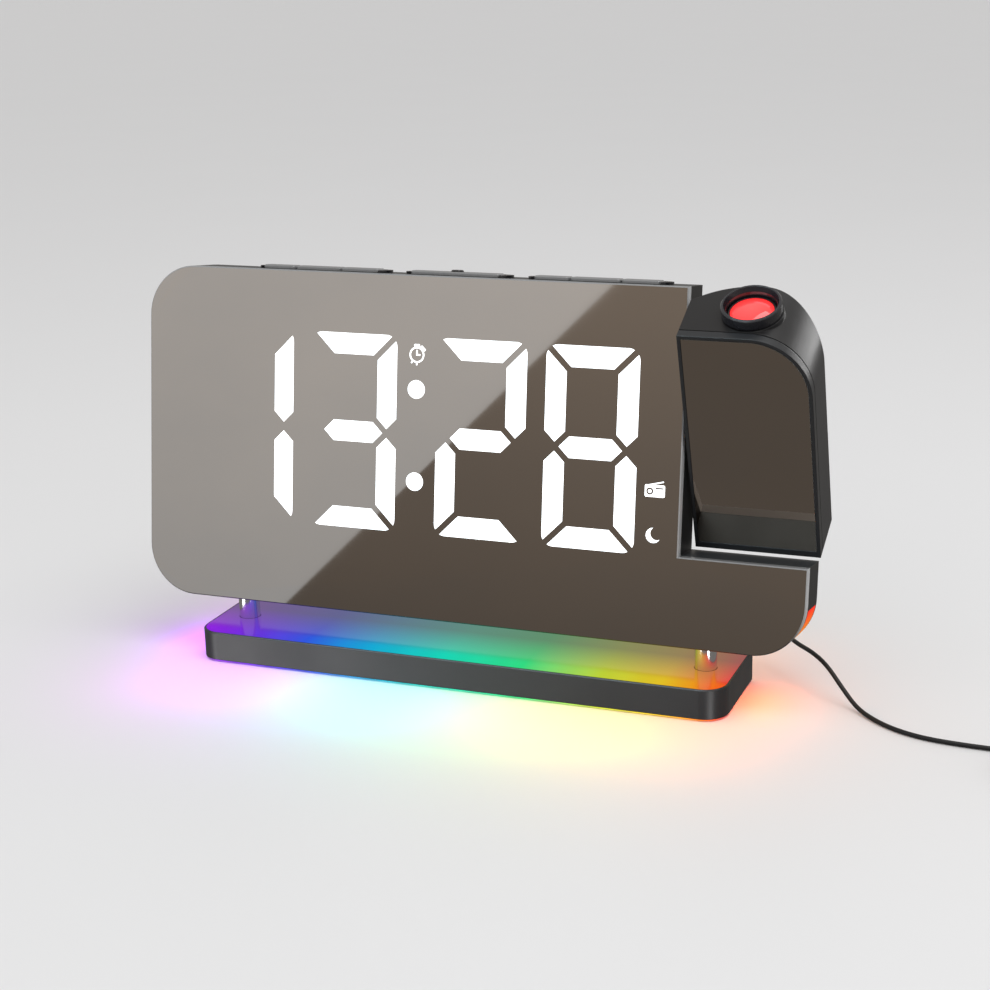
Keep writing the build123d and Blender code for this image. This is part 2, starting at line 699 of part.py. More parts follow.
with BuildPart() as rear_cover:
    with BuildSketch(housing_face(frame_depth)):
        add(housing_outline(cover_inset))
    extrude(amount=-bulge, taper=cover_taper)
    rear_face = rear_cover.faces().sort_by(Axis.Y)[-1]
    chamfer(rear_face.edges(), cover_edge)
    with BuildSketch(housing_face(boss_top)):
        add(housing_outline(frame_wall + slip))
    extrude(amount=-cover_flange)
    # swelling over the arm's bearing
    with BuildSketch(housing_face(boss_top)):
        with Locations(hump_place):
            RectangleRounded(*hump_size, 1.2)
    extrude(amount=-(hump_depth - boss_top))
    add(cover_room.part, mode=Mode.SUBTRACT)
    # screw wells down to the frame's bosses, and a boss for the door's screw
    with BuildSketch(housing_face(boss_top)):
        with Locations(cover_screws):
            Circle(well_outer)
    extrude(amount=-(cover_inner_back - boss_top + 0.5))
    with BuildSketch(housing_face(cover_inner_back - 3)):
        with Locations(door_screw_at):
            Circle(1.7)
    extrude(amount=-3.3)
    with BuildSketch(housing_face(boss_top)):
        with Locations(cover_screws):
            Circle(screw_hole)
    extrude(amount=-(cover_back - boss_top), mode=Mode.SUBTRACT)
    with BuildSketch(housing_face(boss_top + 2.4)):
        with Locations(cover_screws):
            Circle(screw_head)
    extrude(amount=-(cover_back - boss_top), mode=Mode.SUBTRACT)
    # sound slots in front of the loudspeaker, longest in the middle
    with BuildSketch(housing_face(cover_inner_back - 1)):
        slot_reach = speaker_radius - 1.8
        for row in range(-4, 5):
            drop = row * 2.7
            half = sqrt(slot_reach ** 2 - drop ** 2)
            with Locations((speaker_centre[0], speaker_centre[1] + drop)):
                Rectangle(2 * half, 1.3)
    extrude(amount=-(cover_wall + 2), mode=Mode.SUBTRACT)
    # openings of the inlet and the outlet
    with BuildSketch(housing_face(cover_inner_back - 1)):
        with Locations(inlet_centre):
            Circle(4.0 + slip)
        with Locations(outlet_centre):
            Rectangle(outlet_size[0] + 2 * slip, outlet_size[1] + 2 * slip)
        with Locations((panel_right - exit_inset, exit_level)):
            Circle(1.6)
    extrude(amount=-(cover_wall + 2), mode=Mode.SUBTRACT)
    # the cell's door: a shallow bed with an opening for the cell and a rim for its screw
    with BuildSketch(housing_face(cover_back - door_thick)):
        with Locations(cell_centre):
            RectangleRounded(door_size[0] + 2 * slip, door_size[1] + 2 * slip, door_corner)
    extrude(amount=-(door_thick + 1), mode=Mode.SUBTRACT)
    with BuildSketch(housing_face(cover_inner_back - 1)):
        with Locations(cell_centre):
            Circle(cell_radius + 0.3)
    extrude(amount=-(cover_wall + 2), mode=Mode.SUBTRACT)
    with BuildSketch(housing_face(cover_back)):
        with Locations(door_screw_at):
            Circle(0.8)
    extrude(amount=4.4, mode=Mode.SUBTRACT)
finish(rear_cover, "rear_cover", satin_black)

screw_top = boss_top + 2.4
with BuildPart() as rear_cover_screws:
    with BuildSketch(housing_face(boss_top - 5)):
        with Locations(cover_screws):
            Circle(0.85)
    extrude(amount=-(5 + 2.4))
    with BuildSketch(housing_face(screw_top)):
        with Locations(cover_screws):
            Circle(screw_head - 0.3)
    extrude(amount=-1.6)
    with BuildSketch(housing_face(screw_top + 1.6)):
        for x, v in cover_screws:
            with Locations((x, v)):
                Rectangle(2.6, 0.6)
                Rectangle(0.6, 2.6)
    extrude(amount=0.9, mode=Mode.SUBTRACT)
    # the smaller screw of the cell's door
    with BuildSketch(housing_face(cover_back - 0.7)):
        with Locations(door_screw_at):
            Circle(0.75)
    extrude(amount=3.4)
    with BuildSketch(housing_face(cover_back - 0.7)):
        with Locations(door_screw_at):
            Circle(1.3)
    extrude(amount=-0.6)
    with BuildSketch(housing_face(cover_back - 0.1)):
        with Locations(door_screw_at):
            Rectangle(1.8, 0.4)
            Rectangle(0.4, 1.8)
    extrude(amount=0.3, mode=Mode.SUBTRACT)
finish(rear_cover_screws, "rear_cover_screws", steel)

with BuildPart() as speaker_frame:
    with BuildSketch(housing_face(cover_inner_back - 1.4)):
        with Locations(speaker_centre):
            Circle(speaker_radius)
            Circle(speaker_radius - 1.8, mode=Mode.SUBTRACT)
    extrude(amount=-1.4)
    with BuildSketch(housing_face(cover_inner_back - 4.6)):
        with Locations(speaker_centre):
            Circle(speaker_radius - 1.0)
            Circle(speaker_radius - 2.0, mode=Mode.SUBTRACT)
    extrude(amount=-3.4)
    with BuildSketch(housing_face(cover_inner_back - 5.4)):
        with Locations(speaker_centre):
            Circle(speaker_radius - 1.0)
    extrude(amount=-0.8)
    with BuildSketch(housing_face(cover_inner_back - 9.4)):
        with Locations(speaker_centre):
            Circle(8.0)
    extrude(amount=-4.0)
finish(speaker_frame, "speaker_frame", steel)

speaker_axis = Plane(origin=housing_origin + housing_in * (cover_inner_back - 4.6)
                     + housing_up * speaker_centre[1] + Vector(speaker_centre[0], 0, 0),
                     x_dir=(1, 0, 0), z_dir=housing_up)
with BuildPart() as speaker_cone:
    with BuildSketch(speaker_axis):
        with BuildLine():
            Polyline((0, 0), (3.8, 0), (5.0, 1.7), (speaker_radius - 2.2, 3.4),
                     (speaker_radius - 2.2, 3.9), (4.4, 2.3), (3.2, 0.8), (0, 1.9), (0, 0))
        make_face()
    revolve(axis=Axis(speaker_axis.origin, housing_in), revolution_arc=360)
finish(speaker_cone, "speaker_cone", gloss_black)

with BuildPart() as dc_inlet:
    with BuildSketch(housing_face(main_back)):
        with Locations(inlet_centre):
            Rectangle(9.0, 9.0)
    extrude(amount=-(cover_inner_back - main_back - slip))
    with BuildSketch(housing_face(cover_inner_back - slip)):
        with Locations(inlet_centre):
            Circle(4.0)
    extrude(amount=-(cover_wall + slip))
    with BuildSketch(housing_face(main_back + 1.5)):
        with Locations(inlet_centre):
            Circle(2.9)
            Circle(1.0, mode=Mode.SUBTRACT)
    extrude(amount=-(cover_back - main_back), mode=Mode.SUBTRACT)
finish(dc_inlet, "dc_inlet", gloss_black)

with BuildPart() as usb_outlet:
    with BuildSketch(housing_face(main_back)):
        with Locations(outlet_centre):
            Rectangle(*outlet_size)
    extrude(amount=-(cover_back - main_back))
    with BuildSketch(housing_face(main_back + 1.0)):
        with Locations(outlet_centre):
            Rectangle(outlet_size[0] - 0.8, outlet_size[1] - 0.8)
        with Locations((outlet_centre[0], outlet_centre[1] + 0.9)):
            Rectangle(outlet_size[0] - 2.6, 1.8, mode=Mode.SUBTRACT)
    extrude(amount=-(cover_back - main_back), mode=Mode.SUBTRACT)
finish(usb_outlet, "usb_outlet", steel)

cell_back = cover_back - door_thick
with BuildPart() as cell_holder:
    with BuildSketch(housing_face(cell_back - cell_thick - 1.6)):
        with Locations(cell_centre):
            Circle(cell_radius + 1.6)
    extrude(amount=-(cover_inner_back - cell_back + cell_thick + 1.6))
    with BuildSketch(housing_face(cell_back - cell_thick - 0.4)):
        with Locations(cell_centre):
            Circle(cell_radius + 0.3)
    extrude(amount=-(cell_thick + 2), mode=Mode.SUBTRACT)
finish(cell_holder, "cell_holder", gloss_black)

with BuildPart() as coin_cell:
    with BuildSketch(housing_face(cell_back - cell_thick - 0.4)):
        with Locations(cell_centre):
            Circle(cell_radius - 1.2)
    extrude(amount=-0.5)
    with BuildSketch(housing_face(cell_back - cell_thick + 0.1)):
        with Locations(cell_centre):
            Circle(cell_radius)
    extrude(amount=-(cell_thick - 0.5))
    rim = coin_cell.faces().sort_by(Axis.Y)[-1]
    chamfer(rim.edges(), 0.3)
finish(coin_cell, "coin_cell", steel)

with BuildPart() as battery_door:
    with BuildSketch(housing_face(cover_back)):
        with Locations(cell_centre):
            RectangleRounded(*door_size, door_corner - slip)
    extrude(amount=door_thick)
    # finger ridges across the door
    with BuildSketch(housing_face(cover_back)):
        with Locations((cell_centre[0], cell_centre[1] - 6)):
            with GridLocations(1, 2.0, 1, 4):
                SlotOverall(11, 0.7)
    extrude(amount=0.5, mode=Mode.SUBTRACT)
    with BuildSketch(housing_face(cover_back)):
        with Locations(door_screw_at):
            Circle(1.5)
    extrude(amount=0.7, mode=Mode.SUBTRACT)
    with BuildSketch(housing_face(cover_back)):
        with Locations(door_screw_at):
            Circle(0.9)
    extrude(amount=door_thick, mode=Mode.SUBTRACT)
finish(battery_door, "battery_door", satin_black)

# ================================================================ posts
post_bottom = base_height - plate_thick - base_deck - 0.9
with BuildPart() as stand_posts:
    with BuildSketch(table(post_bottom)):
        with Locations(post_places):
            Circle(post_radius)
    extrude(amount=post_top - post_bottom)
    with BuildSketch(table(post_bottom)):
        with Locations(post_places):
            Circle(1.25)
    extrude(amount=6, mode=Mode.SUBTRACT)
    with BuildSketch(table(post_top)):
        with Locations(post_places):
            Circle(1.25)
    extrude(amount=-6, mode=Mode.SUBTRACT)
finish(stand_posts, "stand_posts", chrome)

web = 0.8
with BuildPart() as post_screws:
    with BuildSketch(table(post_top - 5)):
        with Locations(post_places):
            Circle(1.2)
    extrude(amount=5 + 1.6)
    with BuildSketch(table(post_top + 1.6)):
        with Locations(post_places):
            Circle(screw_head - 0.25)
    extrude(amount=1.6)
    with BuildSketch(table(post_bottom + 5)):
        with Locations(post_places):
            Circle(1.2)
    extrude(amount=-(5 + web))
    with BuildSketch(table(post_bottom - web)):
        with Locations(post_places):
            Circle(screw_head - 0.25)
    extrude(amount=-1.2)
finish(post_screws, "post_screws", steel)

# ================================================================ base
deck_top = base_height - plate_thick
deck_bottom = deck_top - base_deck
plate_top = base_lift + base_plate_thick
screw_places = [(sx * base_screw_at[0], sy * base_screw_at[1]) for sx in (-1, 1) for sy in (-1, 1)]

with BuildPart() as base_shell:
    with BuildSketch(table(base_lift)):
        add(base_outline())
    extrude(amount=base_height - base_lift)
    chamfer(base_shell.edges().group_by(Axis.Z)[-1], base_edge)
    with BuildSketch(table(base_lift)):
        add(base_outline(base_wall))
    extrude(amount=deck_bottom - base_lift, mode=Mode.SUBTRACT)
    with BuildSketch(table(deck_top)):
        add(base_outline(plate_inset))
    extrude(amount=plate_thick, mode=Mode.SUBTRACT)
    with BuildSketch(table(deck_bottom)):
        with Locations(post_places):
            Circle(post_radius + 2.4)
    extrude(amount=-(0.9 + web))
    with BuildSketch(table(plate_top)):
        with Locations(screw_places):
            Circle(2.5)
    extrude(amount=deck_bottom - plate_top)
    with BuildSketch(table(post_bottom)):
        with Locations(post_places):
            Circle(post_radius + slip)
    extrude(amount=base_height, mode=Mode.SUBTRACT)
    with BuildSketch(table(post_bottom - web)):
        with Locations(post_places):
            Circle(screw_hole)
    extrude(amount=web, mode=Mode.SUBTRACT)
    with BuildSketch(table(plate_top)):
        with Locations(screw_places):
            Circle(0.9)
    extrude(amount=2.6, mode=Mode.SUBTRACT)
finish(base_shell, "base_shell", satin_black)

with BuildPart() as base_top_plate:
    with BuildSketch(table(deck_top)):
        add(base_outline(plate_inset + slip))
        with Locations(post_places):
            Circle(post_radius + slip, mode=Mode.SUBTRACT)
    extrude(amount=plate_thick)
finish(base_top_plate, "base_top_plate", gloss_black)

guide_inner = guide_inset + guide_width
with BuildPart() as base_light_guide:
    with BuildSketch(table(guide_clear)):
        add(base_outline(guide_inset))
        add(base_outline(guide_inner), mode=Mode.SUBTRACT)
    extrude(amount=base_lift - guide_clear)
    with BuildSketch(table(base_lift)):
        add(base_outline(base_wall + slip))
        add(base_outline(guide_inner), mode=Mode.SUBTRACT)
    extrude(amount=2.6)
finish(base_light_guide, "base_light_guide", milky)

with BuildPart() as base_plate:
    with BuildSketch(table(base_lift)):
        add(base_outline(guide_inner + slip))
    extrude(amount=base_plate_thick)
    with BuildSketch(table(base_lift)):
        with Locations(screw_places):
            Circle(2.0)
    extrude(amount=0.7, mode=Mode.SUBTRACT)
    with BuildSketch(table(base_lift)):
        with Locations(screw_places):
            Circle(1.2)
    extrude(amount=base_plate_thick, mode=Mode.SUBTRACT)
finish(base_plate, "base_plate", satin_black)

with BuildPart() as base_screws:
    with BuildSketch(table(base_lift + 0.1)):
        with Locations(screw_places):
            Circle(1.8)
    extrude(amount=0.6)
    with BuildSketch(table(base_lift + 0.7)):
        with Locations(screw_places):
            Circle(0.85)
    extrude(amount=base_plate_thick + 1.4)
    with BuildSketch(table(base_lift + 0.1)):
        for place in screw_places:
            with Locations(place):
                Rectangle(2.4, 0.5)
                Rectangle(0.5, 2.4)
    extrude(amount=0.4, mode=Mode.SUBTRACT)
finish(base_screws, "base_screws", steel)

with BuildPart() as base_weight:
    with BuildSketch(table(plate_top)):
        RectangleRounded(weight_length, weight_width, 1.5)
    extrude(amount=weight_thick)
finish(base_weight, "base_weight", steel)

strip_y = base_width / 2 - guide_inner - slip - 2.0
with BuildPart() as base_led_strips:
    with BuildSketch(table(plate_top)):
        with Locations((0, -strip_y), (0, strip_y)):
            Rectangle(weight_length, 3.6)
    extrude(amount=0.6)
    with BuildSketch(table(plate_top + 0.6)):
        with GridLocations(weight_length / 8, 2 * (strip_y + 0.8), 8, 2):
            Rectangle(3.0, 1.6)
    extrude(amount=1.2)
finish(base_led_strips, "base_led_strips", board_green)

with BuildPart() as base_grip_pad:
    with BuildSketch(table(0)):
        RectangleRounded(pad_length, pad_width, 5)
    extrude(amount=base_lift)
finish(base_grip_pad, "base_grip_pad", gloss_black)

# ================================================================ projector arm
arm_span = (arm_back_depth + 4) / cos(shear)
seat_drop = 3.0
with BuildPart() as arm_room:
    with BuildSketch(arm_face(bezel_depth)):
        add(arm_outline(arm_wall))
    extrude(amount=arm_span, dir=arm_slope)
    with BuildSketch(arm_level(-arm_height)):
        add(arm_section(arm_wall, 0))
    extrude(amount=3 * arm_height, mode=Mode.INTERSECT)

with BuildPart() as arm_shell:
    with BuildSketch(arm_face(bezel_depth)):
        add(arm_outline())
    extrude(amount=arm_span, dir=arm_slope)
    with BuildSketch(arm_level(-arm_height)):
        add(arm_section(0, 0))
    extrude(amount=3 * arm_height, mode=Mode.INTERSECT)
    # round seat of the focus ring, level where the arm's corner falls away
    with BuildSketch(lens_face(-seat_drop)):
        Circle(ring_outer + seat_rim)
    extrude(amount=seat_drop)
    add(arm_room.part, mode=Mode.SUBTRACT)
    # opening for the focus ring's neck and the lens holder
    with BuildSketch(lens_face(-seat_drop - 2)):
        Circle(neck_radius + running)
    extrude(amount=seat_drop + 4, mode=Mode.SUBTRACT)
    # hole for the axle
    with BuildSketch(pivot_face(arm_left - 1)):
        Circle(axle_radius + running)
    extrude(amount=arm_wall + 2, mode=Mode.SUBTRACT)
finish(arm_shell, "arm_shell", satin_black)

with BuildPart() as arm_bezel:
    with BuildSketch(arm_face(0)):
        add(arm_outline())
    extrude(amount=(bezel_depth - seam) / cos(shear), dir=arm_slope)
    with BuildSketch(arm_face(bezel_depth - seam)):
        add(arm_outline(seam))
    extrude(amount=seam / cos(shear), dir=arm_slope)
    with BuildSketch(arm_face(0)):
        add(arm_outline(bezel_border, bezel_sill))
    extrude(amount=-arm_mirror_thick, mode=Mode.SUBTRACT)
    with BuildSketch(arm_face(0)):
        add(arm_outline(3.4, 4.2))
    extrude(amount=-2 * bezel_depth, mode=Mode.SUBTRACT)
finish(arm_bezel, "arm_bezel", satin_black)

with BuildPart() as arm_mirror:
    with BuildSketch(arm_face(0)):
        add(arm_outline(bezel_border + slip, bezel_sill + slip))
    extrude(amount=-arm_mirror_thick)
finish(arm_mirror, "arm_mirror", smoky_mirror)

# ---------------------------------------------------------------- focus ring, lens and light unit
ring_gap = 0.3
neck_drop = 1.3
holder_top = -neck_drop - 0.3
with BuildPart() as focus_ring:
    with BuildSketch(lens_face(ring_gap)):
        Circle(ring_outer)
    extrude(amount=ring_height - ring_gap)
    chamfer(focus_ring.edges().sort_by(Axis.Z)[-1], 0.3)
    with BuildSketch(lens_face(-neck_drop)):
        Circle(neck_radius)
    extrude(amount=neck_drop + ring_gap)
    with BuildSketch(lens_face(-neck_drop)):
        Circle(ring_bore)
    extrude(amount=ring_height + neck_drop, mode=Mode.SUBTRACT)
    mouth = focus_ring.edges().filter_by(GeomType.CIRCLE).sort_by(SortBy.RADIUS)[:2].sort_by(Axis.Z)[-1]
    chamfer(mouth, 0.6, 1.3, reference=focus_ring.faces().filter_by(GeomType.PLANE).sort_by(Axis.Z)[-1])
finish(focus_ring, "focus_ring", gloss_black)

with BuildPart() as lens_barrel:
    with BuildSketch(lens_face(-1.3)):
        Circle(head_radius)
    extrude(amount=1.7)
    with BuildSketch(lens_face(-8.5)):
        Circle(stem_radius)
    extrude(amount=7.2)
    with BuildSketch(lens_face(-8.5)):
        Circle(stem_radius - 1.0)
    extrude(amount=7.7, mode=Mode.SUBTRACT)
    with BuildSketch(lens_face(-0.8)):
        Circle(lens_radius)
    extrude(amount=3, mode=Mode.SUBTRACT)
finish(lens_barrel, "lens_barrel", gloss_black)

lens_rise = 1.1
lens_axis = Axis(lens_origin, lens_up)
lens_edge = lens_radius - slip
dome = (lens_edge ** 2 + lens_rise ** 2) / (2 * lens_rise)
half_rise = lens_rise - dome + sqrt(dome ** 2 - lens_edge ** 2 / 4)
lens_section = Plane(origin=lens_origin, x_dir=(1, 0, 0), z_dir=Vector(1, 0, 0).cross(lens_up))
with BuildPart() as projector_lens:
    with BuildSketch(lens_section):
        with BuildLine():
            Polyline((0, 0.3 + lens_rise), (0, -0.8), (lens_edge, -0.8), (lens_edge, 0.3))
            ThreePointArc((lens_edge, 0.3), (lens_edge / 2, 0.3 + half_rise), (0, 0.3 + lens_rise))
        make_face()
    revolve(axis=lens_axis, revolution_arc=360)
finish(projector_lens, "projector_lens", red_glow)

holder_bottom = -10.5
with BuildPart() as lens_holder:
    with BuildSketch(lens_face(holder_top)):
        Circle(neck_radius)
    extrude(amount=-2.4)
    with BuildSketch(lens_face(holder_top - 2.4)):
        Circle(stem_radius + 0.7)
    extrude(amount=holder_bottom - holder_top + 2.4)
    with BuildSketch(lens_face(holder_top)):
        Circle(head_radius + 0.3)
    extrude(amount=-1.2, mode=Mode.SUBTRACT)
    with BuildSketch(lens_face(holder_top)):
        Circle(stem_radius + running)
    extrude(amount=holder_bottom - holder_top, mode=Mode.SUBTRACT)
finish(lens_holder, "lens_holder", gloss_black)

cradle_half = 4.6
cradle_bottom = holder_bottom - 6.2
with BuildPart() as light_cradle:
    with BuildSketch(lens_face(holder_bottom)):
        Rectangle(2 * cradle_half, 2 * cradle_half)
    extrude(amount=cradle_bottom - holder_bottom)
    with BuildSketch(lens_face(holder_bottom)):
        Rectangle(2 * cradle_half - 1.6, 2 * cradle_half - 1.6)
    extrude(amount=cradle_bottom - holder_bottom, mode=Mode.SUBTRACT)
    # ledge between the film and the condenser
    with BuildSketch(lens_face(holder_bottom - 1.0)):
        Rectangle(2 * cradle_half - 1.6, 2 * cradle_half - 1.6)
        Circle(3.2, mode=Mode.SUBTRACT)
    extrude(amount=-0.6)
finish(light_cradle, "light_cradle", gloss_black)

with BuildPart() as time_film:
    with BuildSketch(lens_face(holder_bottom - 1.0)):
        Rectangle(2 * cradle_half - 1.8, 2 * cradle_half - 1.8)
    extrude(amount=0.9)
finish(time_film, "time_film", Color(0.25, 0.3, 0.3))

with BuildPart() as condenser_lens:
    with BuildSketch(lens_face(holder_bottom - 1.6)):
        Circle(3.7)
    extrude(amount=-1.8)
    chamfer(condenser_lens.faces().sort_by(lens_axis)[0].edges(), 0.7)
finish(condenser_lens, "condenser_lens", Color(0.8, 0.85, 0.9))

with BuildPart() as projector_light:
    with BuildSketch(lens_face(cradle_bottom)):
        Rectangle(2 * cradle_half, 2 * cradle_half)
    extrude(amount=-1.0)
    with BuildSketch(lens_face(cradle_bottom)):
        Circle(1.6)
    extrude(amount=1.6)
    chamfer(projector_light.faces().sort_by(lens_axis)[-1].edges(), 0.6)
finish(projector_light, "projector_light", board_green)

# ---------------------------------------------------------------- pivot
wall_inside = notch_left - frame_wall
washer_face = wall_inside - 1.0 - 0.3
washer_thick = 0.65
axle_end = washer_face - washer_thick - 1.7
with BuildPart() as arm_axle:
    with BuildSketch(pivot_face(axle_end)):
        Circle(axle_radius)
    extrude(amount=arm_left + arm_wall - axle_end)
    with BuildSketch(pivot_face(arm_left + arm_wall)):
        Circle(axle_radius + 0.7)
    extrude(amount=1.4)
    with BuildSketch(pivot_face(axle_end)):
        Circle(axle_bore)
    extrude(amount=arm_left + arm_wall + 1.4 - axle_end, mode=Mode.SUBTRACT)
    # groove for the retaining ring
    with BuildSketch(pivot_face(axle_end + 0.8)):
        Circle(axle_radius)
        Circle(axle_radius - 0.5, mode=Mode.SUBTRACT)
    extrude(amount=0.9, mode=Mode.SUBTRACT)
finish(arm_axle, "arm_axle", steel)

with BuildPart() as axle_bush:
    with BuildSketch(pivot_face(wall_inside)):
        Circle(bush_radius - 0.02)
    extrude(amount=frame_wall)
    with BuildSketch(pivot_face(wall_inside)):
        Circle(bush_flange)
    extrude(amount=-1.0)
    with BuildSketch(pivot_face(wall_inside - 1.0)):
        Circle(axle_radius + running)
    extrude(amount=frame_wall + 1.0, mode=Mode.SUBTRACT)
finish(axle_bush, "axle_bush", milky)

with BuildPart() as axle_washer:
    with BuildSketch(pivot_face(washer_face)):
        Circle(axle_radius + 1.4)
        Circle(axle_radius + running, mode=Mode.SUBTRACT)
    extrude(amount=-washer_thick)
finish(axle_washer, "axle_washer", steel)

with BuildPart() as axle_ring:
    with BuildSketch(pivot_face(axle_end + 0.85)):
        Circle(axle_radius + 1.4)
        Circle(axle_radius - 0.45, mode=Mode.SUBTRACT)
        with Locations((0, axle_radius)):
            Rectangle(2.2, 2 * axle_radius, mode=Mode.SUBTRACT)
    extrude(amount=0.8)
finish(axle_ring, "axle_ring", steel)

# ================================================================ wire aerial
exit_x = panel_right - exit_inset
exit_base = housing_origin + housing_up * exit_level + Vector(exit_x, 0, 0)
exit_point = exit_base + housing_in * (cover_back + grommet_length)


def exit_face(depth):
    """Plane across the wire's exit, at this depth behind the mirror's face."""
    return Plane(origin=exit_base + housing_in * depth, x_dir=(1, 0, 0), z_dir=housing_in)


with BuildPart() as aerial_grommet:
    with BuildSketch(exit_face(cover_inner_back - 1.0)):
        Circle(1.9)
    extrude(amount=1.0)
    with BuildSketch(exit_face(cover_inner_back)):
        Circle(1.5)
    extrude(amount=cover_wall)
    with BuildSketch(exit_face(cover_back)):
        Circle(2.2)
    with BuildSketch(exit_face(cover_back + grommet_length)):
        Circle(wire_radius + 0.5)
    loft()
finish(aerial_grommet, "aerial_grommet", gloss_black)

rest_level = wire_radius + 0.03
coil_lane = coil_outer - wire_radius
coil_centre = (exit_x + coil_reach, coil_y)
coil_entry = (coil_centre[0] - sqrt(coil_outer ** 2 - coil_lane ** 2), coil_y + coil_lane)
# corners of the wire's way: to the right of its exit, then y and height
wire_run = [(0.6, 28.2, 22.3), (3.6, 31.6, 16.3), (8.6, 28.4, 11.2), (14.6, 21.4, 10.0), (20.3, 15.6, 10.2),
            (25.2, 11.0, 8.8), (29.8, 7.2, 4.9), (34.8, 3.0, 1.0), (40.5, -2.8, rest_level),
            (46.4, -7.1, rest_level), (53.2, -10.0, rest_level), (61.0, -11.2, rest_level),
            (71.0, coil_entry[1], rest_level)]
wire_route = [tuple(exit_point)] + [(exit_x + across, y, z) for across, y, z in wire_run]
wire_route.append((coil_entry[0] - 0.05, coil_entry[1], rest_level))


def bend_radii(route):
    """The largest arc that each corner's two runs leave room for."""
    radii = []
    for before, corner, after in zip(route, route[1:], route[2:]):
        run_in, run_out = Vector(corner) - Vector(before), Vector(after) - Vector(corner)
        turn = radians(run_in.get_angle(run_out))
        radii.append(0.45 * min(run_in.length, run_out.length) / tan(turn / 2))
    return radii


wire_radii = bend_radii(wire_route)
print("wire bend radii", [round(r, 1) for r in wire_radii])
with BuildPart() as aerial_wire:
    with BuildLine() as wire_path:
        FilletPolyline(*wire_route, radius=wire_radii)
    with BuildSketch(Plane(origin=wire_path.line @ 0, z_dir=wire_path.line % 0)):
        Circle(wire_radius)
    sweep()
wire_length = wire_path.wires()[0].length
section_volume = pi * wire_radius ** 2 * wire_length
print("wire length", round(wire_length, 1), "volume", round(aerial_wire.part.volume, 2),
      "section times length", round(section_volume, 2))
finish(aerial_wire, "aerial_wire", gloss_black)

with BuildPart() as aerial_coil:
    with BuildSketch(table(0)):
        with Locations(coil_centre):
            Circle(coil_outer)
            Circle(coil_inner, mode=Mode.SUBTRACT)
    extrude(amount=coil_height)
finish(aerial_coil, "aerial_coil", gloss_black)

tip_start = (coil_centre[0] + coil_outer + tip_radius + slip, coil_centre[1] - tip_length / 2, tip_radius)
with BuildPart() as aerial_tip:
    with BuildSketch(Plane(origin=tip_start, x_dir=(1, 0, 0), z_dir=(0, 1, 0))):
        Circle(tip_radius)
    extrude(amount=tip_length)
    chamfer(aerial_tip.faces().sort_by(Axis.Y)[0].edges(), 0.4)
finish(aerial_tip, "aerial_tip", gloss_black)
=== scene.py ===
from math import cos, pi, radians, sin, tan

import bmesh
import bpy
from bpy.props import FloatProperty, FloatVectorProperty, IntProperty, PointerProperty
from mathutils import Matrix, Vector


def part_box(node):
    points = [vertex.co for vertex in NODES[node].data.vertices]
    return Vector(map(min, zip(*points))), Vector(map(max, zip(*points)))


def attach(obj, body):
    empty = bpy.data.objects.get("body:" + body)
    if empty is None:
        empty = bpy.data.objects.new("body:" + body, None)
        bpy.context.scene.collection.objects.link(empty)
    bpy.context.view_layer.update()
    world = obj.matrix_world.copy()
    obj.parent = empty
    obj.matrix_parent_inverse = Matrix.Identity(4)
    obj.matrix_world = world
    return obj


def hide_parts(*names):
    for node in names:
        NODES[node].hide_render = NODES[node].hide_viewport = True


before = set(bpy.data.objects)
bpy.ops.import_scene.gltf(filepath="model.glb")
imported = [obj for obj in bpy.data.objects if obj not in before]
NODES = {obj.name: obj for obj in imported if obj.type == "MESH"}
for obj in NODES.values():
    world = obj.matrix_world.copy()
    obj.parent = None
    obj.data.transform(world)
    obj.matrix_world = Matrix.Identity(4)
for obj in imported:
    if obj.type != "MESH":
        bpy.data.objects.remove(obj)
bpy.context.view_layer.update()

bl_info = {
    "name": "Projection alarm clock",
    "version": (1, 0, 0),
    "blender": (4, 5, 0),
    "location": "View3D > Sidebar > Clock",
    "description": "Finishes, lights, display windows and aerial wire for the mirror-faced projection clock",
    "category": "Object",
}

MM = 0.001

# the housing's own directions: across, up the mirror, and in behind its face
LEAN = radians(8.0)
HOUSING_UP = Vector((0.0, sin(LEAN), cos(LEAN)))
HOUSING_IN = Vector((0.0, cos(LEAN), -sin(LEAN)))
FACE_BEFORE_POSTS, FACE_FOOT = 7.9, 16.35
HOUSING_ORIGIN = Vector((0.0, -FACE_BEFORE_POSTS * cos(LEAN), FACE_FOOT)) * MM
ARM_LEAN = radians(17.4)
ARM_IN = Vector((0.0, cos(ARM_LEAN), sin(ARM_LEAN)))

MIRROR_THICKNESS = 2.5 * MM
WINDOW_LIFT = 0.03 * MM
HOUSING_STRIP_HALF = 113 * MM
BASE_GUIDE_HALF = 76 * MM
LAMP_PITCH = 10.5 * MM


def on_housing(x, level, depth):
    """A point of the housing from millimetres across, up the mirror and behind its face."""
    across = Vector((x * MM, 0.0, 0.0))
    return HOUSING_ORIGIN + across + HOUSING_UP * (level * MM) + HOUSING_IN * (depth * MM)


# ---------------------------------------------------------------- sizes and colours
def colour(name, description, default):
    return FloatVectorProperty(name=name, description=description, default=default, subtype="COLOR",
                               size=3, min=0.0, max=1.0)


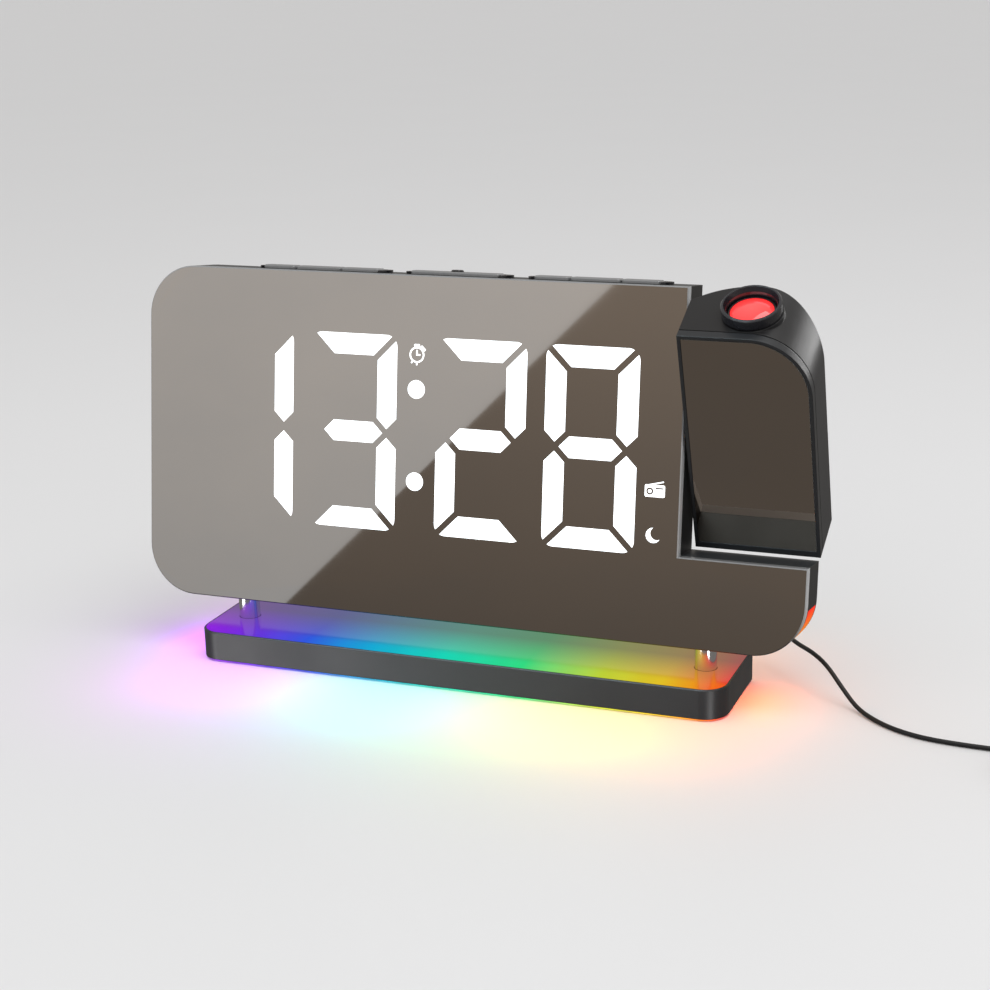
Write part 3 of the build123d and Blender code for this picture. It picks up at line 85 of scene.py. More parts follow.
class ClockFinishes(bpy.types.PropertyGroup):
    mirror_tint: colour("Mirror tint", "Smoky brown of the two-way mirror", (0.34, 0.275, 0.22))
    mirror_blur: FloatProperty(name="Mirror blur", description="Roughness of the mirror's face",
                               default=0.03, min=0.0, max=1.0, subtype="FACTOR")
    # light grey that stands in for the glint of the polished edge: a painted highlight
    edge_highlight_tint: colour("Polished edge", "Ground and polished edge of the mirror plate", (0.66, 0.67, 0.68))
    shell_tint: colour("Shell", "Satin black of the mouldings", (0.014, 0.014, 0.015))
    gloss_tint: colour("Gloss black", "High gloss black of trims and plate", (0.008, 0.008, 0.010))
    key_tint: colour("Keys", "Silver lacquer of the keys", (0.30, 0.305, 0.31))
    wire_tint: colour("Wire", "Skin of the aerial wire", (0.012, 0.012, 0.013))


class ClockLights(bpy.types.PropertyGroup):
    digit_tint: colour("Digits", "Light of the digits", (0.86, 0.94, 1.0))
    digit_glow: FloatProperty(name="Digit glow", description="Strength of the digits", default=1.6, min=0.0)
    lens_tint: colour("Lens", "Light of the projector lens", (0.90, 0.012, 0.012))
    lens_glow: FloatProperty(name="Lens glow", description="Strength of the projector lens",
                             default=1.1, min=0.0)
    strip_glow: FloatProperty(name="Strip glow", description="Strength of the base's light guide",
                              default=2.5, min=0.0)
    # the glow on the base's top plate is painted light: emission standing in for the housing strip's light
    # shining and reflected on the glossy plate
    plate_painted_glow: FloatProperty(name="Plate glow", description="Strength of the colours on the base's top",
                              default=0.9, min=0.0)
    spill: FloatProperty(name="Spill", description="Power of the colours that the base throws on the table",
                         default=0.0045, min=0.0, subtype="POWER")
    under_glow: FloatProperty(name="Housing strip glow", description="Strength of the housing's light strip",
                              default=1.2, min=0.0)


class ClockAerial(bpy.types.PropertyGroup):
    wire: FloatProperty(name="Wire", description="Diameter of the aerial wire", default=0.0012, unit="LENGTH")
    length: FloatProperty(name="Length", description="Length of the aerial wire", default=0.75, unit="LENGTH")
    turns: FloatProperty(name="Turns", description="Turns in each layer of the put-away coil", default=3.25)
    layers: IntProperty(name="Layers", description="Layers of the put-away coil", default=4, min=1)
    pitch: FloatProperty(name="Pitch", description="Distance from turn to turn", default=0.00122,
                         unit="LENGTH")
    outer_lane: FloatProperty(name="Outer turn", description="Radius of the outermost turn", default=0.0093,
                              unit="LENGTH")


class ClockStage(bpy.types.PropertyGroup):
    floor_tint: colour("Floor", "Plain pale floor", (0.78, 0.78, 0.785))
    studio: FloatProperty(name="Studio light", description="Strength of the even light all round",
                          default=0.84, min=0.0)
    gloss_room: FloatProperty(name="Room in the gloss", default=0.25, min=0.0,
                              description="Brightness of the surroundings that shine in glossy pieces")
    key_power: FloatProperty(name="Key light", description="Power of the large overhead light", default=2.2,
                             min=0.0, subtype="POWER")
    card_power: FloatProperty(name="Gloss light", default=1.75, min=0.0, subtype="POWER",
                              description="Power of the square light that shines in the mirror")
    card_tint: colour("Gloss light colour", "Colour of the square light", (0.70, 0.84, 1.0))


# ---------------------------------------------------------------- finishes
class Finish:
    """A material with one Principled shader, and short ways to add pattern to it."""

    def __init__(self, name, **sockets):
        self.material = bpy.data.materials.new(name)
        self.material.use_nodes = True
        self.tree = self.material.node_tree
        self.shader = self.tree.nodes["Principled BSDF"]
        self.place = self.node("ShaderNodeTexCoord").outputs["Object"]
        for socket, value in sockets.items():
            self.put(socket.replace("_", " "), value)

    def node(self, kind, **values):
        made = self.tree.nodes.new(kind)
        for key, value in values.items():
            setattr(made, key, value)
        return made

    def put(self, socket, value):
        """Set a socket of the shader, or link it where value is an output."""
        target = self.shader.inputs[socket]
        if isinstance(value, bpy.types.NodeSocket):
            self.tree.links.new(value, target)
        elif hasattr(value, "__len__") and len(value) == 3:
            target.default_value = (*value, 1.0)
        else:
            target.default_value = value
        return self

    def feed(self, node, **values):
        for key, value in values.items():
            target = node.inputs[int(key[1:])] if key[0] == "i" and key[1:].isdigit() else node.inputs[key]
            if isinstance(value, bpy.types.NodeSocket):
                self.tree.links.new(value, target)
            elif hasattr(value, "__len__") and len(value) == 3 and target.type == "RGBA":
                target.default_value = (*value, 1.0)
            else:
                target.default_value = value
        return node

    def noise(self, scale, detail=2.0, stretch=(1.0, 1.0, 1.0)):
        """Cloudy pattern, scale in features a metre."""
        mapping = self.feed(self.node("ShaderNodeMapping"), Vector=self.place, Scale=stretch)
        pattern = self.feed(self.node("ShaderNodeTexNoise"), Vector=mapping.outputs[0], Scale=scale,
                            Detail=detail)
        return pattern.outputs["Fac"]

    def span(self, value, low, high, out_low=0.0, out_high=1.0):
        """Value from low to high, brought to out_low to out_high."""
        node = self.feed(self.node("ShaderNodeMapRange"), Value=value)
        for index, number in enumerate((low, high, out_low, out_high), start=1):
            node.inputs[index].default_value = number
        return node.outputs[0]

    def calc(self, operation, first, second):
        node = self.feed(self.node("ShaderNodeMath", operation=operation), i0=first, i1=second)
        return node.outputs[0]

    def axis(self, direction, start):
        """Distance along a direction from a start point, in metres."""
        shifted = self.feed(self.node("ShaderNodeVectorMath", operation="SUBTRACT"), i0=self.place,
                            i1=tuple(start))
        along = self.feed(self.node("ShaderNodeVectorMath", operation="DOT_PRODUCT"), i0=shifted.outputs[0],
                          i1=tuple(direction))
        return along.outputs["Value"]

    def away_from(self, point):
        node = self.feed(self.node("ShaderNodeVectorMath", operation="DISTANCE"), i0=self.place,
                         i1=tuple(point))
        return node.outputs["Value"]

    def ramp(self, value, stops):
        """Colours along a value from 0 to 1; stops are (place, colour)."""
        node = self.feed(self.node("ShaderNodeValToRGB"), Fac=value)
        points = node.color_ramp.elements
        while len(points) < len(stops):
            points.new(0.5)
        for point, (place, tint) in zip(points, stops):
            point.position = place
            point.color = (*tint, 1.0)
        return node.outputs["Color"]

    def mix(self, factor, first, second):
        node = self.node("ShaderNodeMix", data_type="RGBA")
        self.feed(node, i0=factor, i6=first, i7=second)
        return node.outputs[2]

    def facing(self, direction):
        """1 where the surface looks along a direction, 0 across it."""
        normal = self.node("ShaderNodeNewGeometry").outputs["True Normal"]
        dot = self.feed(self.node("ShaderNodeVectorMath", operation="DOT_PRODUCT"), i0=normal,
                        i1=tuple(direction))
        return dot.outputs["Value"]

    def relief(self, height, distance, strength=1.0, edge=0.0):
        """Surface relief, and rounded shading of sharp edges where edge is their radius."""
        bump = self.feed(self.node("ShaderNodeBump"), Height=height, Distance=distance, Strength=strength)
        if edge:
            soft = self.feed(self.node("ShaderNodeBevel", samples=4), Radius=edge)
            self.tree.links.new(soft.outputs[0], bump.inputs["Normal"])
        self.put("Normal", bump.outputs[0])
        return self

    def dress(self, *names):
        """Give the finish to frame nodes or new pieces."""
        for name in names:
            target = NODES[name] if isinstance(name, str) else name
            target.data.materials.clear()
            target.data.materials.append(self.material)
        return self


def tinted(tint, factor):
    return tuple(min(1.0, channel * factor) for channel in tint)


AMBIENT = [(0.00, (0.28, 0.00, 0.66)), (0.10, (0.15, 0.01, 0.66)), (0.22, (0.02, 0.06, 0.68)),
           (0.34, (0.00, 0.34, 0.62)), (0.49, (0.00, 0.62, 0.42)), (0.64, (0.02, 0.66, 0.18)),
           (0.78, (0.52, 0.60, 0.01)), (0.89, (0.76, 0.46, 0.00)), (0.96, (0.85, 0.18, 0.00)),
           (1.00, (0.95, 0.00, 0.00))]
# sheen lights: towards, width and height in degrees, radiance, colour, and the pieces that they light
SHEENS = [((-0.28, -0.55, 0.79), (44, 40), 6.0, (0.72, 0.90, 1.0),
           ("front_frame", "rear_cover", "arm_bezel", "focus_ring", "projector_lens", "base_shell")),
          ((-0.60, -0.71, -0.36), (26, 30), 4.0, (1.0, 1.0, 1.0), ("base_shell", "stand_posts")),
          ((0.645, -0.658, -0.392), (12, 30), 6.0, (1.0, 1.0, 1.0), ("base_shell", "stand_posts")),
          ((0.545, 0.774, 0.33), (18, 24), 7.5, (1.0, 1.0, 1.0), ("arm_shell", "arm_bezel"))]
# what the base throws on the table, from left to right
SPILL = [(0.85, 0.05, 1.00), (0.75, 0.05, 1.00), (0.00, 0.75, 1.00), (0.00, 0.90, 0.80),
         (0.25, 0.95, 0.20), (0.95, 0.85, 0.02), (1.00, 0.60, 0.02), (1.00, 0.16, 0.02)]


def ambient_colour(finish, half_length, rise=0.0):
    """Row of colours from violet at the left to red at the right; rise draws its ends upwards."""
    across = finish.axis((1, 0, 0), (0, 0, 0))
    if rise:
        level = finish.span(finish.axis(HOUSING_UP, HOUSING_ORIGIN), 0.0, 0.02, 1.0, 1.0 + rise)
        across = finish.calc("MULTIPLY", across, level)
    return finish.ramp(finish.span(across, -half_length, half_length), AMBIENT)


def satin(name, tint, roughness=0.42):
    """Satin moulding: fine spark-eroded grain, soft edges and faint handling marks."""
    finish = Finish(name, IOR=1.5)
    cloud = finish.noise(45.0, 3.0)
    finish.put("Base Color", finish.mix(cloud, tinted(tint, 0.85), tinted(tint, 1.2)))
    finish.put("Roughness", finish.span(cloud, 0.3, 0.7, roughness - 0.05, roughness + 0.06))
    return finish.relief(finish.noise(2600.0, 2.0), 0.00003, 0.5, edge=0.00035)


def glossy(name, tint, roughness=0.12):
    """High gloss moulding with a slight waviness."""
    finish = Finish(name, IOR=1.5, Coat_Weight=0.6, Coat_Roughness=0.04)
    cloud = finish.noise(60.0, 2.0)
    finish.put("Base Color", finish.mix(cloud, tinted(tint, 0.8), tinted(tint, 1.3)))
    finish.put("Roughness", finish.span(finish.noise(140.0, 3.0), 0.3, 0.7, roughness * 0.8, roughness * 1.3))
    return finish.relief(finish.noise(30.0, 1.0), 0.00002, 0.3, edge=0.0002)


def metal(name, tint, roughness, stretch=(1.0, 1.0, 1.0), grain=900.0):
    """Bare or plated metal with a directional grain."""
    finish = Finish(name, Metallic=1.0)
    lines = finish.noise(grain, 3.0, stretch)
    finish.put("Base Color", finish.mix(lines, tinted(tint, 0.86), tint))
    finish.put("Roughness", finish.span(lines, 0.3, 0.7, roughness * 0.75, roughness * 1.3))
    return finish.relief(lines, 0.000008, 0.4, edge=0.00015)


def board_finish(name):
    """Solder mask with copper tracks showing through."""
    finish = Finish(name, Roughness=0.32, Coat_Weight=0.3)
    tracks = finish.feed(finish.node("ShaderNodeTexBrick"), Vector=finish.place, Scale=160.0,
                         **{"Mortar Size": 0.012, "Color1": (0.010, 0.075, 0.035, 1),
                            "Color2": (0.012, 0.09, 0.045, 1), "Mortar": (0.03, 0.19, 0.09, 1)})
    finish.put("Base Color", tracks.outputs["Color"])
    return finish.relief(tracks.outputs["Fac"], 0.00002, 0.4)


def rubbery(name, tint, roughness=0.6):
    finish = Finish(name)
    grain = finish.noise(1500.0, 3.0)
    finish.put("Base Color", finish.mix(grain, tinted(tint, 0.8), tinted(tint, 1.25)))
    finish.put("Roughness", finish.span(grain, 0.3, 0.7, roughness - 0.06, roughness + 0.08))
    return finish.relief(grain, 0.00002, 0.35)


def mirror_finish(name, tint, blur, edge_highlight_tint, face):
    """Smoky two-way mirror on its faces, with a painted reflection that lightens it towards the upper right;
    its polished edge carries a painted highlight, brightest where it faces right and lighter where it faces
    up, and painted shade, near black where it faces down.
    """
    finish = Finish(name, Metallic=1.0, Coat_Weight=0.5, Coat_Roughness=0.015)
    smear = finish.noise(16.0, 4.0, (1.0, 1.0, 1.6))
    # painted reflection: the mirror's tint grows lighter along a slant towards the right and the top
    painted_reflection_gradient = finish.mix(finish.span(finish.axis((0.92, 0.0, 0.39), (-0.095, 0, 0.016)), 0.0, 0.21),
                       tinted(tint, 0.92), tinted(tint, 1.06))
    body = finish.mix(finish.span(smear, 0.25, 0.75, 0.0, 0.35), painted_reflection_gradient, tinted(tint, 1.25))
    flat = finish.calc("ABSOLUTE", finish.facing(face), 0.0)
    side = finish.span(flat, 0.35, 0.45, 1.0, 0.0)
    bevel = finish.calc("MULTIPLY", finish.span(flat, 0.93, 0.97, 1.0, 0.0), finish.span(flat, 0.45, 0.55))
    # painted highlight and painted shade on the polished edge: light grey facing up and right, near black
    # facing down
    above = finish.mix(finish.span(finish.facing((0, 0, 1)), -0.3, 0.5), (0.03, 0.03, 0.03),
                       tinted(edge_highlight_tint, 0.42))
    edge = finish.mix(finish.span(finish.facing((1, 0, 0)), 0.5, 0.9), above, edge_highlight_tint)
    rim = finish.calc("MAXIMUM", bevel, side)
    finish.put("Base Color", finish.mix(rim, body, edge))
    finish.put("Metallic", finish.span(rim, 0.0, 1.0, 1.0, 0.15))
    finish.put("Roughness", finish.calc("ADD", finish.span(smear, 0.3, 0.7, blur * 0.6, blur * 1.5),
                                       finish.calc("MULTIPLY", rim, 0.3)))
    return finish


def light_strip_finish(name, half_length, strength, rise=0.0):
    """Milky plastic lit from behind by a row of coloured lamps; rise spreads them up the ends."""
    finish = Finish(name, Roughness=0.5, Emission_Strength=strength, Specular_IOR_Level=0.15)
    lamps = ambient_colour(finish, half_length, rise)
    lamp_phase = finish.calc("MULTIPLY", finish.axis((1, 0, 0), (0, 0, 0)), 2 * pi / LAMP_PITCH)
    pulse = finish.calc("SINE", lamp_phase, 0.0)
    level = finish.mix(finish.span(pulse, -1.0, 1.0), (0.80, 0.80, 0.80), (1.0, 1.0, 1.0))
    product = finish.node("ShaderNodeMix", data_type="RGBA", blend_type="MULTIPLY")
    finish.feed(product, i0=1.0, i6=lamps, i7=level)
    finish.put("Base Color", (0.02, 0.02, 0.02))
    finish.put("Emission Color", product.outputs[2])
    return finish.relief(finish.noise(900.0, 2.0), 0.00002, 0.3)


# ---------------------------------------------------------------- new pieces
def new_piece(name, mesh, body, finish=None):
    piece = bpy.data.objects.new(name, mesh)
    bpy.context.scene.collection.objects.link(piece)
    if finish:
        finish.dress(piece)
    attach(piece, body)
    return piece


def front_faces(node, shift):
    """The mirror-side faces of a node's solids, as a thin sheet moved by shift."""
    sheet = bmesh.new()
    sheet.from_mesh(NODES[node].data)
    bmesh.ops.remove_doubles(sheet, verts=sheet.verts, dist=1e-6)
    hidden = [face for face in sheet.faces if face.normal.dot(-HOUSING_IN) < 0.9]
    bmesh.ops.delete(sheet, geom=hidden, context="FACES")
    bmesh.ops.translate(sheet, verts=sheet.verts, vec=shift)
    bmesh.ops.dissolve_limit(sheet, angle_limit=0.02, verts=sheet.verts, edges=sheet.edges)
    mesh = bpy.data.meshes.new(node + "_window")
    sheet.to_mesh(mesh)
    sheet.free()
    return mesh


# ---------------------------------------------------------------- operators
class CLOCK_OT_stage(bpy.types.Operator):
    """Camera, pale floor and soft studio lights"""
    bl_idname = "clock.stage"
    bl_label = "Stage"

    def execute(self, context):
        look = context.scene.clock_stage
        scene = context.scene
        scene.view_settings.view_transform = "Standard"
        eye, focal_length, sensor_width = Vector((190.96, -458.76, 195.44)) * MM, 69.89, 36.0
        yaw, pitch, roll = 0.3773, 0.2846, -0.0258
        back = Vector((sin(yaw) * cos(pitch), -cos(yaw) * cos(pitch), sin(pitch)))
        right = Vector((cos(yaw), sin(yaw), 0.0))
        up = back.cross(right)
        turned_right = right * cos(roll) + up * sin(roll)
        turned_up = up * cos(roll) - right * sin(roll)
        lens = bpy.data.cameras.new("product_camera")
        lens.lens, lens.sensor_width, lens.clip_start = focal_length, sensor_width, 0.01
        camera = bpy.data.objects.new("product_camera", lens)
        turn = Matrix((turned_right, turned_up, back)).transposed().to_4x4()
        camera.matrix_world = Matrix.Translation(eye) @ turn
        scene.collection.objects.link(camera)
        scene.camera = camera

        floor_mesh = bpy.data.meshes.new("floor")
        sheet = bmesh.new()
        bmesh.ops.create_grid(sheet, x_segments=24, y_segments=24, size=6.0)
        sheet.to_mesh(floor_mesh)
        sheet.free()
        floor = bpy.data.objects.new("floor", floor_mesh)
        scene.collection.objects.link(floor)
        ground = Finish("pale_floor", Roughness=0.55)
        speck = ground.noise(9.0, 3.0)
        ground.put("Base Color", ground.mix(speck, tinted(look.floor_tint, 0.985), look.floor_tint))
        ground.dress(floor)

        world = bpy.data.worlds.new("studio")
        world.use_nodes = True
        sky = world.node_tree.nodes["Background"]
        sky.inputs["Color"].default_value = (1.0, 1.0, 1.0, 1.0)
        sky.inputs["Strength"].default_value = look.studio
        self.dim_in_gloss(world.node_tree, sky, look.gloss_room)
        scene.world = world
        floor.visible_glossy = False

        self.soft_light(scene, "overhead_light", (0.25, -0.10, 0.85), (0.02, 0.0, 0.06), (0.7, 0.5),
                        look.key_power)
        self.gloss_light(scene, look)
        self.sheen_lights(scene)
        self.spill_lights(scene, floor, context.scene.clock_lights.spill)
        return {"FINISHED"}

    def dim_in_gloss(self, tree, sky, level):
        """The surroundings are a darker room where they shine in glossy pieces."""
        path = tree.nodes.new("ShaderNodeLightPath")
        place = tree.nodes.new("ShaderNodeTexCoord")
        split = tree.nodes.new("ShaderNodeSeparateXYZ")
        rise = tree.nodes.new("ShaderNodeMapRange")
        for index, value in enumerate((-0.12, 0.14, level * 0.75, level * 1.8), start=1):
            rise.inputs[index].default_value = value
        room = tree.nodes.new("ShaderNodeBackground")
        room.inputs["Color"].default_value = (1.0, 0.95, 0.90, 1.0)
        choice = tree.nodes.new("ShaderNodeMixShader")
        tree.links.new(place.outputs["Generated"], split.inputs[0])
        tree.links.new(split.outputs["Z"], rise.inputs[0])
        tree.links.new(rise.outputs[0], room.inputs["Strength"])
        tree.links.new(path.outputs["Is Glossy Ray"], choice.inputs[0])
        tree.links.new(sky.outputs[0], choice.inputs[1])
        tree.links.new(room.outputs[0], choice.inputs[2])
        tree.links.new(choice.outputs[0], tree.nodes["World Output"].inputs["Surface"])

    def sheen_lights(self, scene):
        """Large soft lights for single pieces; the floor and the other pieces neither take nor stop them."""
        middle = Vector((0.0, 0.0, 0.05))
        for towards, (wide, high), radiance, tint, names in SHEENS:
            size = [2 * tan(radians(angle) / 2) for angle in (wide, high)]
            light = self.soft_light(scene, "sheen_light", middle + Vector(towards).normalized(), middle, size,
                                    radiance * pi * size[0] * size[1])
            light.data.color = tint
            pieces = bpy.data.collections.new("sheen_pieces")
            for name in names:
                pieces.objects.link(NODES[name])
            light.light_linking.receiver_collection = pieces
            light.light_linking.blocker_collection = pieces

    def spill_lights(self, scene, floor, power):
        """Row of coloured lamps that light only the floor round the base."""
        drop_to_floor, side_size, end_size = 0.022, (0.018, 0.03), (0.008, 0.022)
        lit = bpy.data.collections.new("table_only")
        lit.objects.link(floor)
        low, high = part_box("base_light_guide")
        count = len(SPILL)
        for index, tint in enumerate(SPILL):
            x = low[0] - 0.006 + (high[0] - low[0] + 0.012) * (index + 0.5) / count
            for y, share in ((low[1] - 0.012, 1.0), (high[1] + 0.010, 0.7)):
                light = self.soft_light(scene, "spill_light", (x, y, drop_to_floor), (x, y, 0.0), side_size,
                                        power * share)
                self.only_on(light, tint, lit)
        for x, tint in ((low[0] - 0.007, (0.45, 0.02, 1.0)), (high[0] + 0.007, (1.0, 0.14, 0.01))):
            light = self.soft_light(scene, "end_light", (x, 0.0, 0.010), (x, 0.0, 0.0), end_size, power * 0.8)
            self.only_on(light, tint, lit)

    def only_on(self, light, tint, lit):
        """Colour a lamp, and let it light nothing but the objects in lit."""
        light.data.color = tint
        light.visible_glossy = False
        light.light_linking.receiver_collection = lit

    def soft_light(self, scene, name, place, target, size, power):
        lamp = bpy.data.lights.new(name, "AREA")
        lamp.shape, lamp.size, lamp.size_y, lamp.energy = "RECTANGLE", *size, power
        light = bpy.data.objects.new(name, lamp)
        light.location = place
        aim = Vector(target) - Vector(place)
        light.rotation_euler = aim.to_track_quat("-Z", "Y").to_euler()
        light.visible_camera = False
        scene.collection.objects.link(light)
        return light

    def gloss_light(self, scene, look):
        """Square light parallel to the mirror; one side shows in it as a slanting line."""
        side, reach = 0.8, 0.6
        eye = scene.camera.location
        depth = (eye - HOUSING_ORIGIN).dot(-HOUSING_IN)
        eye_across, eye_up = eye.x, (eye - HOUSING_ORIGIN).dot(HOUSING_UP)
        growth = (reach + depth) / depth
        ends = []
        line_top, line_foot = (0.0416, 0.0933), (-0.0519, 0.0)
        for across, level in (line_top, line_foot):
            ends.append(Vector((eye_across + (across - eye_across) * growth,
                                eye_up + (level - eye_up) * growth)))
        middle = (ends[0] + ends[1]) / 2 + Vector((-1, 1)).normalized() * side / 2
        along = (ends[0] - ends[1]).normalized()
        across_axis = Vector((along.x, 0, 0)) + HOUSING_UP * along.y
        normal = -HOUSING_IN
        lamp = bpy.data.lights.new("gloss_light", "AREA")
        lamp.shape, lamp.size, lamp.energy, lamp.color = "SQUARE", side, look.card_power, look.card_tint
        light = bpy.data.objects.new("gloss_light", lamp)
        turn = Matrix((across_axis, normal.cross(across_axis), normal)).transposed().to_4x4()
        centre = HOUSING_ORIGIN + Vector((middle.x, 0, 0)) + HOUSING_UP * middle.y - HOUSING_IN * reach
        light.matrix_world = Matrix.Translation(centre) @ turn
        light.visible_camera = False
        scene.collection.objects.link(light)
        mirrors = bpy.data.collections.new("mirrors_only")
        mirrors.objects.link(NODES["mirror_panel"])
        light.light_linking.receiver_collection = mirrors


class CLOCK_OT_aerial(bpy.types.Operator):
    """Wire aerial that leaves low at the rear, its put-away coil and moulded tip"""
    bl_idname = "clock.aerial"
    bl_label = "Aerial wire"

    def execute(self, context):
        size = context.scene.clock_aerial
        looks = context.scene.clock_finishes
        rest = size.wire / 2 + 0.00003
        exit_point = on_housing(72.0, 11.5, 28.0)
        route = [tuple(exit_point), (0.0726, 0.0282, 0.0223), (0.0756, 0.0316, 0.0163),
                 (0.0806, 0.0284, 0.0112), (0.0866, 0.0214, 0.0100), (0.0923, 0.0156, 0.0102),
                 (0.0972, 0.0110, 0.0088), (0.1018, 0.0072, 0.0049), (0.1068, 0.0030, 0.0010),
                 (0.1125, -0.0028, rest), (0.1184, -0.0071, rest), (0.1252, -0.0100, rest),
                 (0.1330, -0.0112, rest), (0.1430, -0.0116, rest)]
        low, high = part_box("aerial_coil")
        centre = Vector(((low[0] + high[0]) / 2, (low[1] + high[1]) / 2))
        route += self.coil_points(centre, size, rest)
        curve = bpy.data.curves.new("aerial_wire_line", "CURVE")
        curve.dimensions = "3D"
        curve.bevel_depth, curve.bevel_resolution, curve.resolution_u = size.wire / 2, 3, 4
        curve.use_fill_caps = True
        spline = curve.splines.new("NURBS")
        spline.points.add(len(route) - 1)
        for point, place in zip(spline.points, route):
            point.co = (*place, 1.0)
        spline.order_u = 3
        spline.use_endpoint_u = True
        skin = rubbery("wire_skin", looks.wire_tint, 0.42)
        wire = new_piece("aerial_lead", curve, "clock", skin)
        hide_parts("aerial_wire", "aerial_coil")
        rubbery("moulded_rubber", looks.wire_tint, 0.6).dress("aerial_grommet", "aerial_tip")
        return {"FINISHED"}

    def coil_points(self, centre, size, rest):
        """Layers of turns, wound clockwise inwards and outwards in turn, then down to the tip."""
        steps, climb_steps, layer_rise = 16, 3, 1.02
        inner = size.outer_lane - size.pitch * size.turns
        angle, radius, level = 90.0, size.outer_lane, rest
        points = []

        def lay():
            points.append((centre.x + radius * cos(radians(angle)),
                           centre.y + radius * sin(radians(angle)), level))

        for layer in range(size.layers):
            inwards = layer % 2 == 0
            count = int(size.turns * steps)
            for step in range(count + 1):
                share = step / count
                radius = size.outer_lane + (inner - size.outer_lane) * (share if inwards else 1 - share)
                lay()
                angle -= 360.0 / steps
            if layer < size.layers - 1:
                for _ in range(climb_steps):
                    level += size.pitch * layer_rise / climb_steps
                    lay()
                    angle -= 360.0 / steps
        # down outside the coil, to the tip on the table
        low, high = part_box("aerial_tip")
        start = Vector(((low[0] + high[0]) / 2, high[1], (low[2] + high[2]) / 2))
        drop = level - start.z
        for share, reach in ((0.30, 0.0004), (0.62, 0.0012), (0.88, 0.0017)):
            radius = size.outer_lane + reach
            level = start.z + drop * (1 - share)
            lay()
            angle -= 360.0 / steps
        points.append((start.x, start.y + 0.0016, start.z))
        points.append(tuple(start))
        return points


class CLOCK_OT_housing(bpy.types.Operator):
    """Mirror plate, frame, rear cover and its fittings"""
    bl_idname = "clock.housing"
    bl_label = "Housing"

    def execute(self, context):
        looks = context.scene.clock_finishes
        mirror_finish("smoky_mirror", looks.mirror_tint, looks.mirror_blur, looks.edge_highlight_tint,
                      HOUSING_IN).dress("mirror_panel")
        satin("satin_black", looks.shell_tint).dress("front_frame", "rear_cover", "battery_door")
        metal("zinc_screw", (0.55, 0.55, 0.56), 0.3).dress("rear_cover_screws")
        glossy("socket_black", looks.gloss_tint, 0.25).dress("dc_inlet", "cell_holder")
        metal("plated_steel", (0.62, 0.62, 0.63), 0.22).dress("usb_outlet", "coin_cell", "speaker_frame")
        rubbery("paper_cone", (0.03, 0.03, 0.032), 0.8).dress("speaker_cone")
        return {"FINISHED"}


class CLOCK_OT_display(bpy.types.Operator):
    """Windows in the mirror's silvering, where the digits and pictograms shine through"""
    bl_idname = "clock.display"
    bl_label = "Display"

    def execute(self, context):
        lights = context.scene.clock_lights
        front = -HOUSING_IN * (MIRROR_THICKNESS + WINDOW_LIFT)
        glow = Finish("digit_light", Roughness=0.25, Emission_Strength=lights.digit_glow)
        veil = glow.noise(260.0, 1.0)
        tint = glow.mix(glow.span(veil, 0.35, 0.65), lights.digit_tint, (1.0, 1.0, 1.0))
        glow.put("Emission Color", tint)
        glow.put("Base Color", (0.75, 0.78, 0.80))
        for node, name in (("lit_segments", "digit_windows"), ("indicator_lights", "pictogram_windows")):
            new_piece(name, front_faces(node, front), "clock", glow)
        glow.dress("lit_segments", "indicator_lights", "display_leds")
        resting = Finish("unlit_segment", Roughness=0.4)
        resting.put("Base Color", resting.mix(resting.noise(300.0), (0.20, 0.20, 0.21), (0.26, 0.26, 0.27)))
        resting.dress("unlit_segments")
        glossy("mask_black", context.scene.clock_finishes.gloss_tint, 0.3).dress("display_mask")
        return {"FINISHED"}


class CLOCK_OT_ambient(bpy.types.Operator):
    """Coloured light strips under the housing and round the base"""
    bl_idname = "clock.ambient"
    bl_label = "Ambient lights"

    def execute(self, context):
        lights = context.scene.clock_lights
        under = light_strip_finish("housing_strip_light", HOUSING_STRIP_HALF, lights.under_glow, 0.3)
        under.dress("housing_light_strip")
        light_strip_finish("base_guide_light", BASE_GUIDE_HALF, lights.strip_glow).dress("base_light_guide")
        return {"FINISHED"}


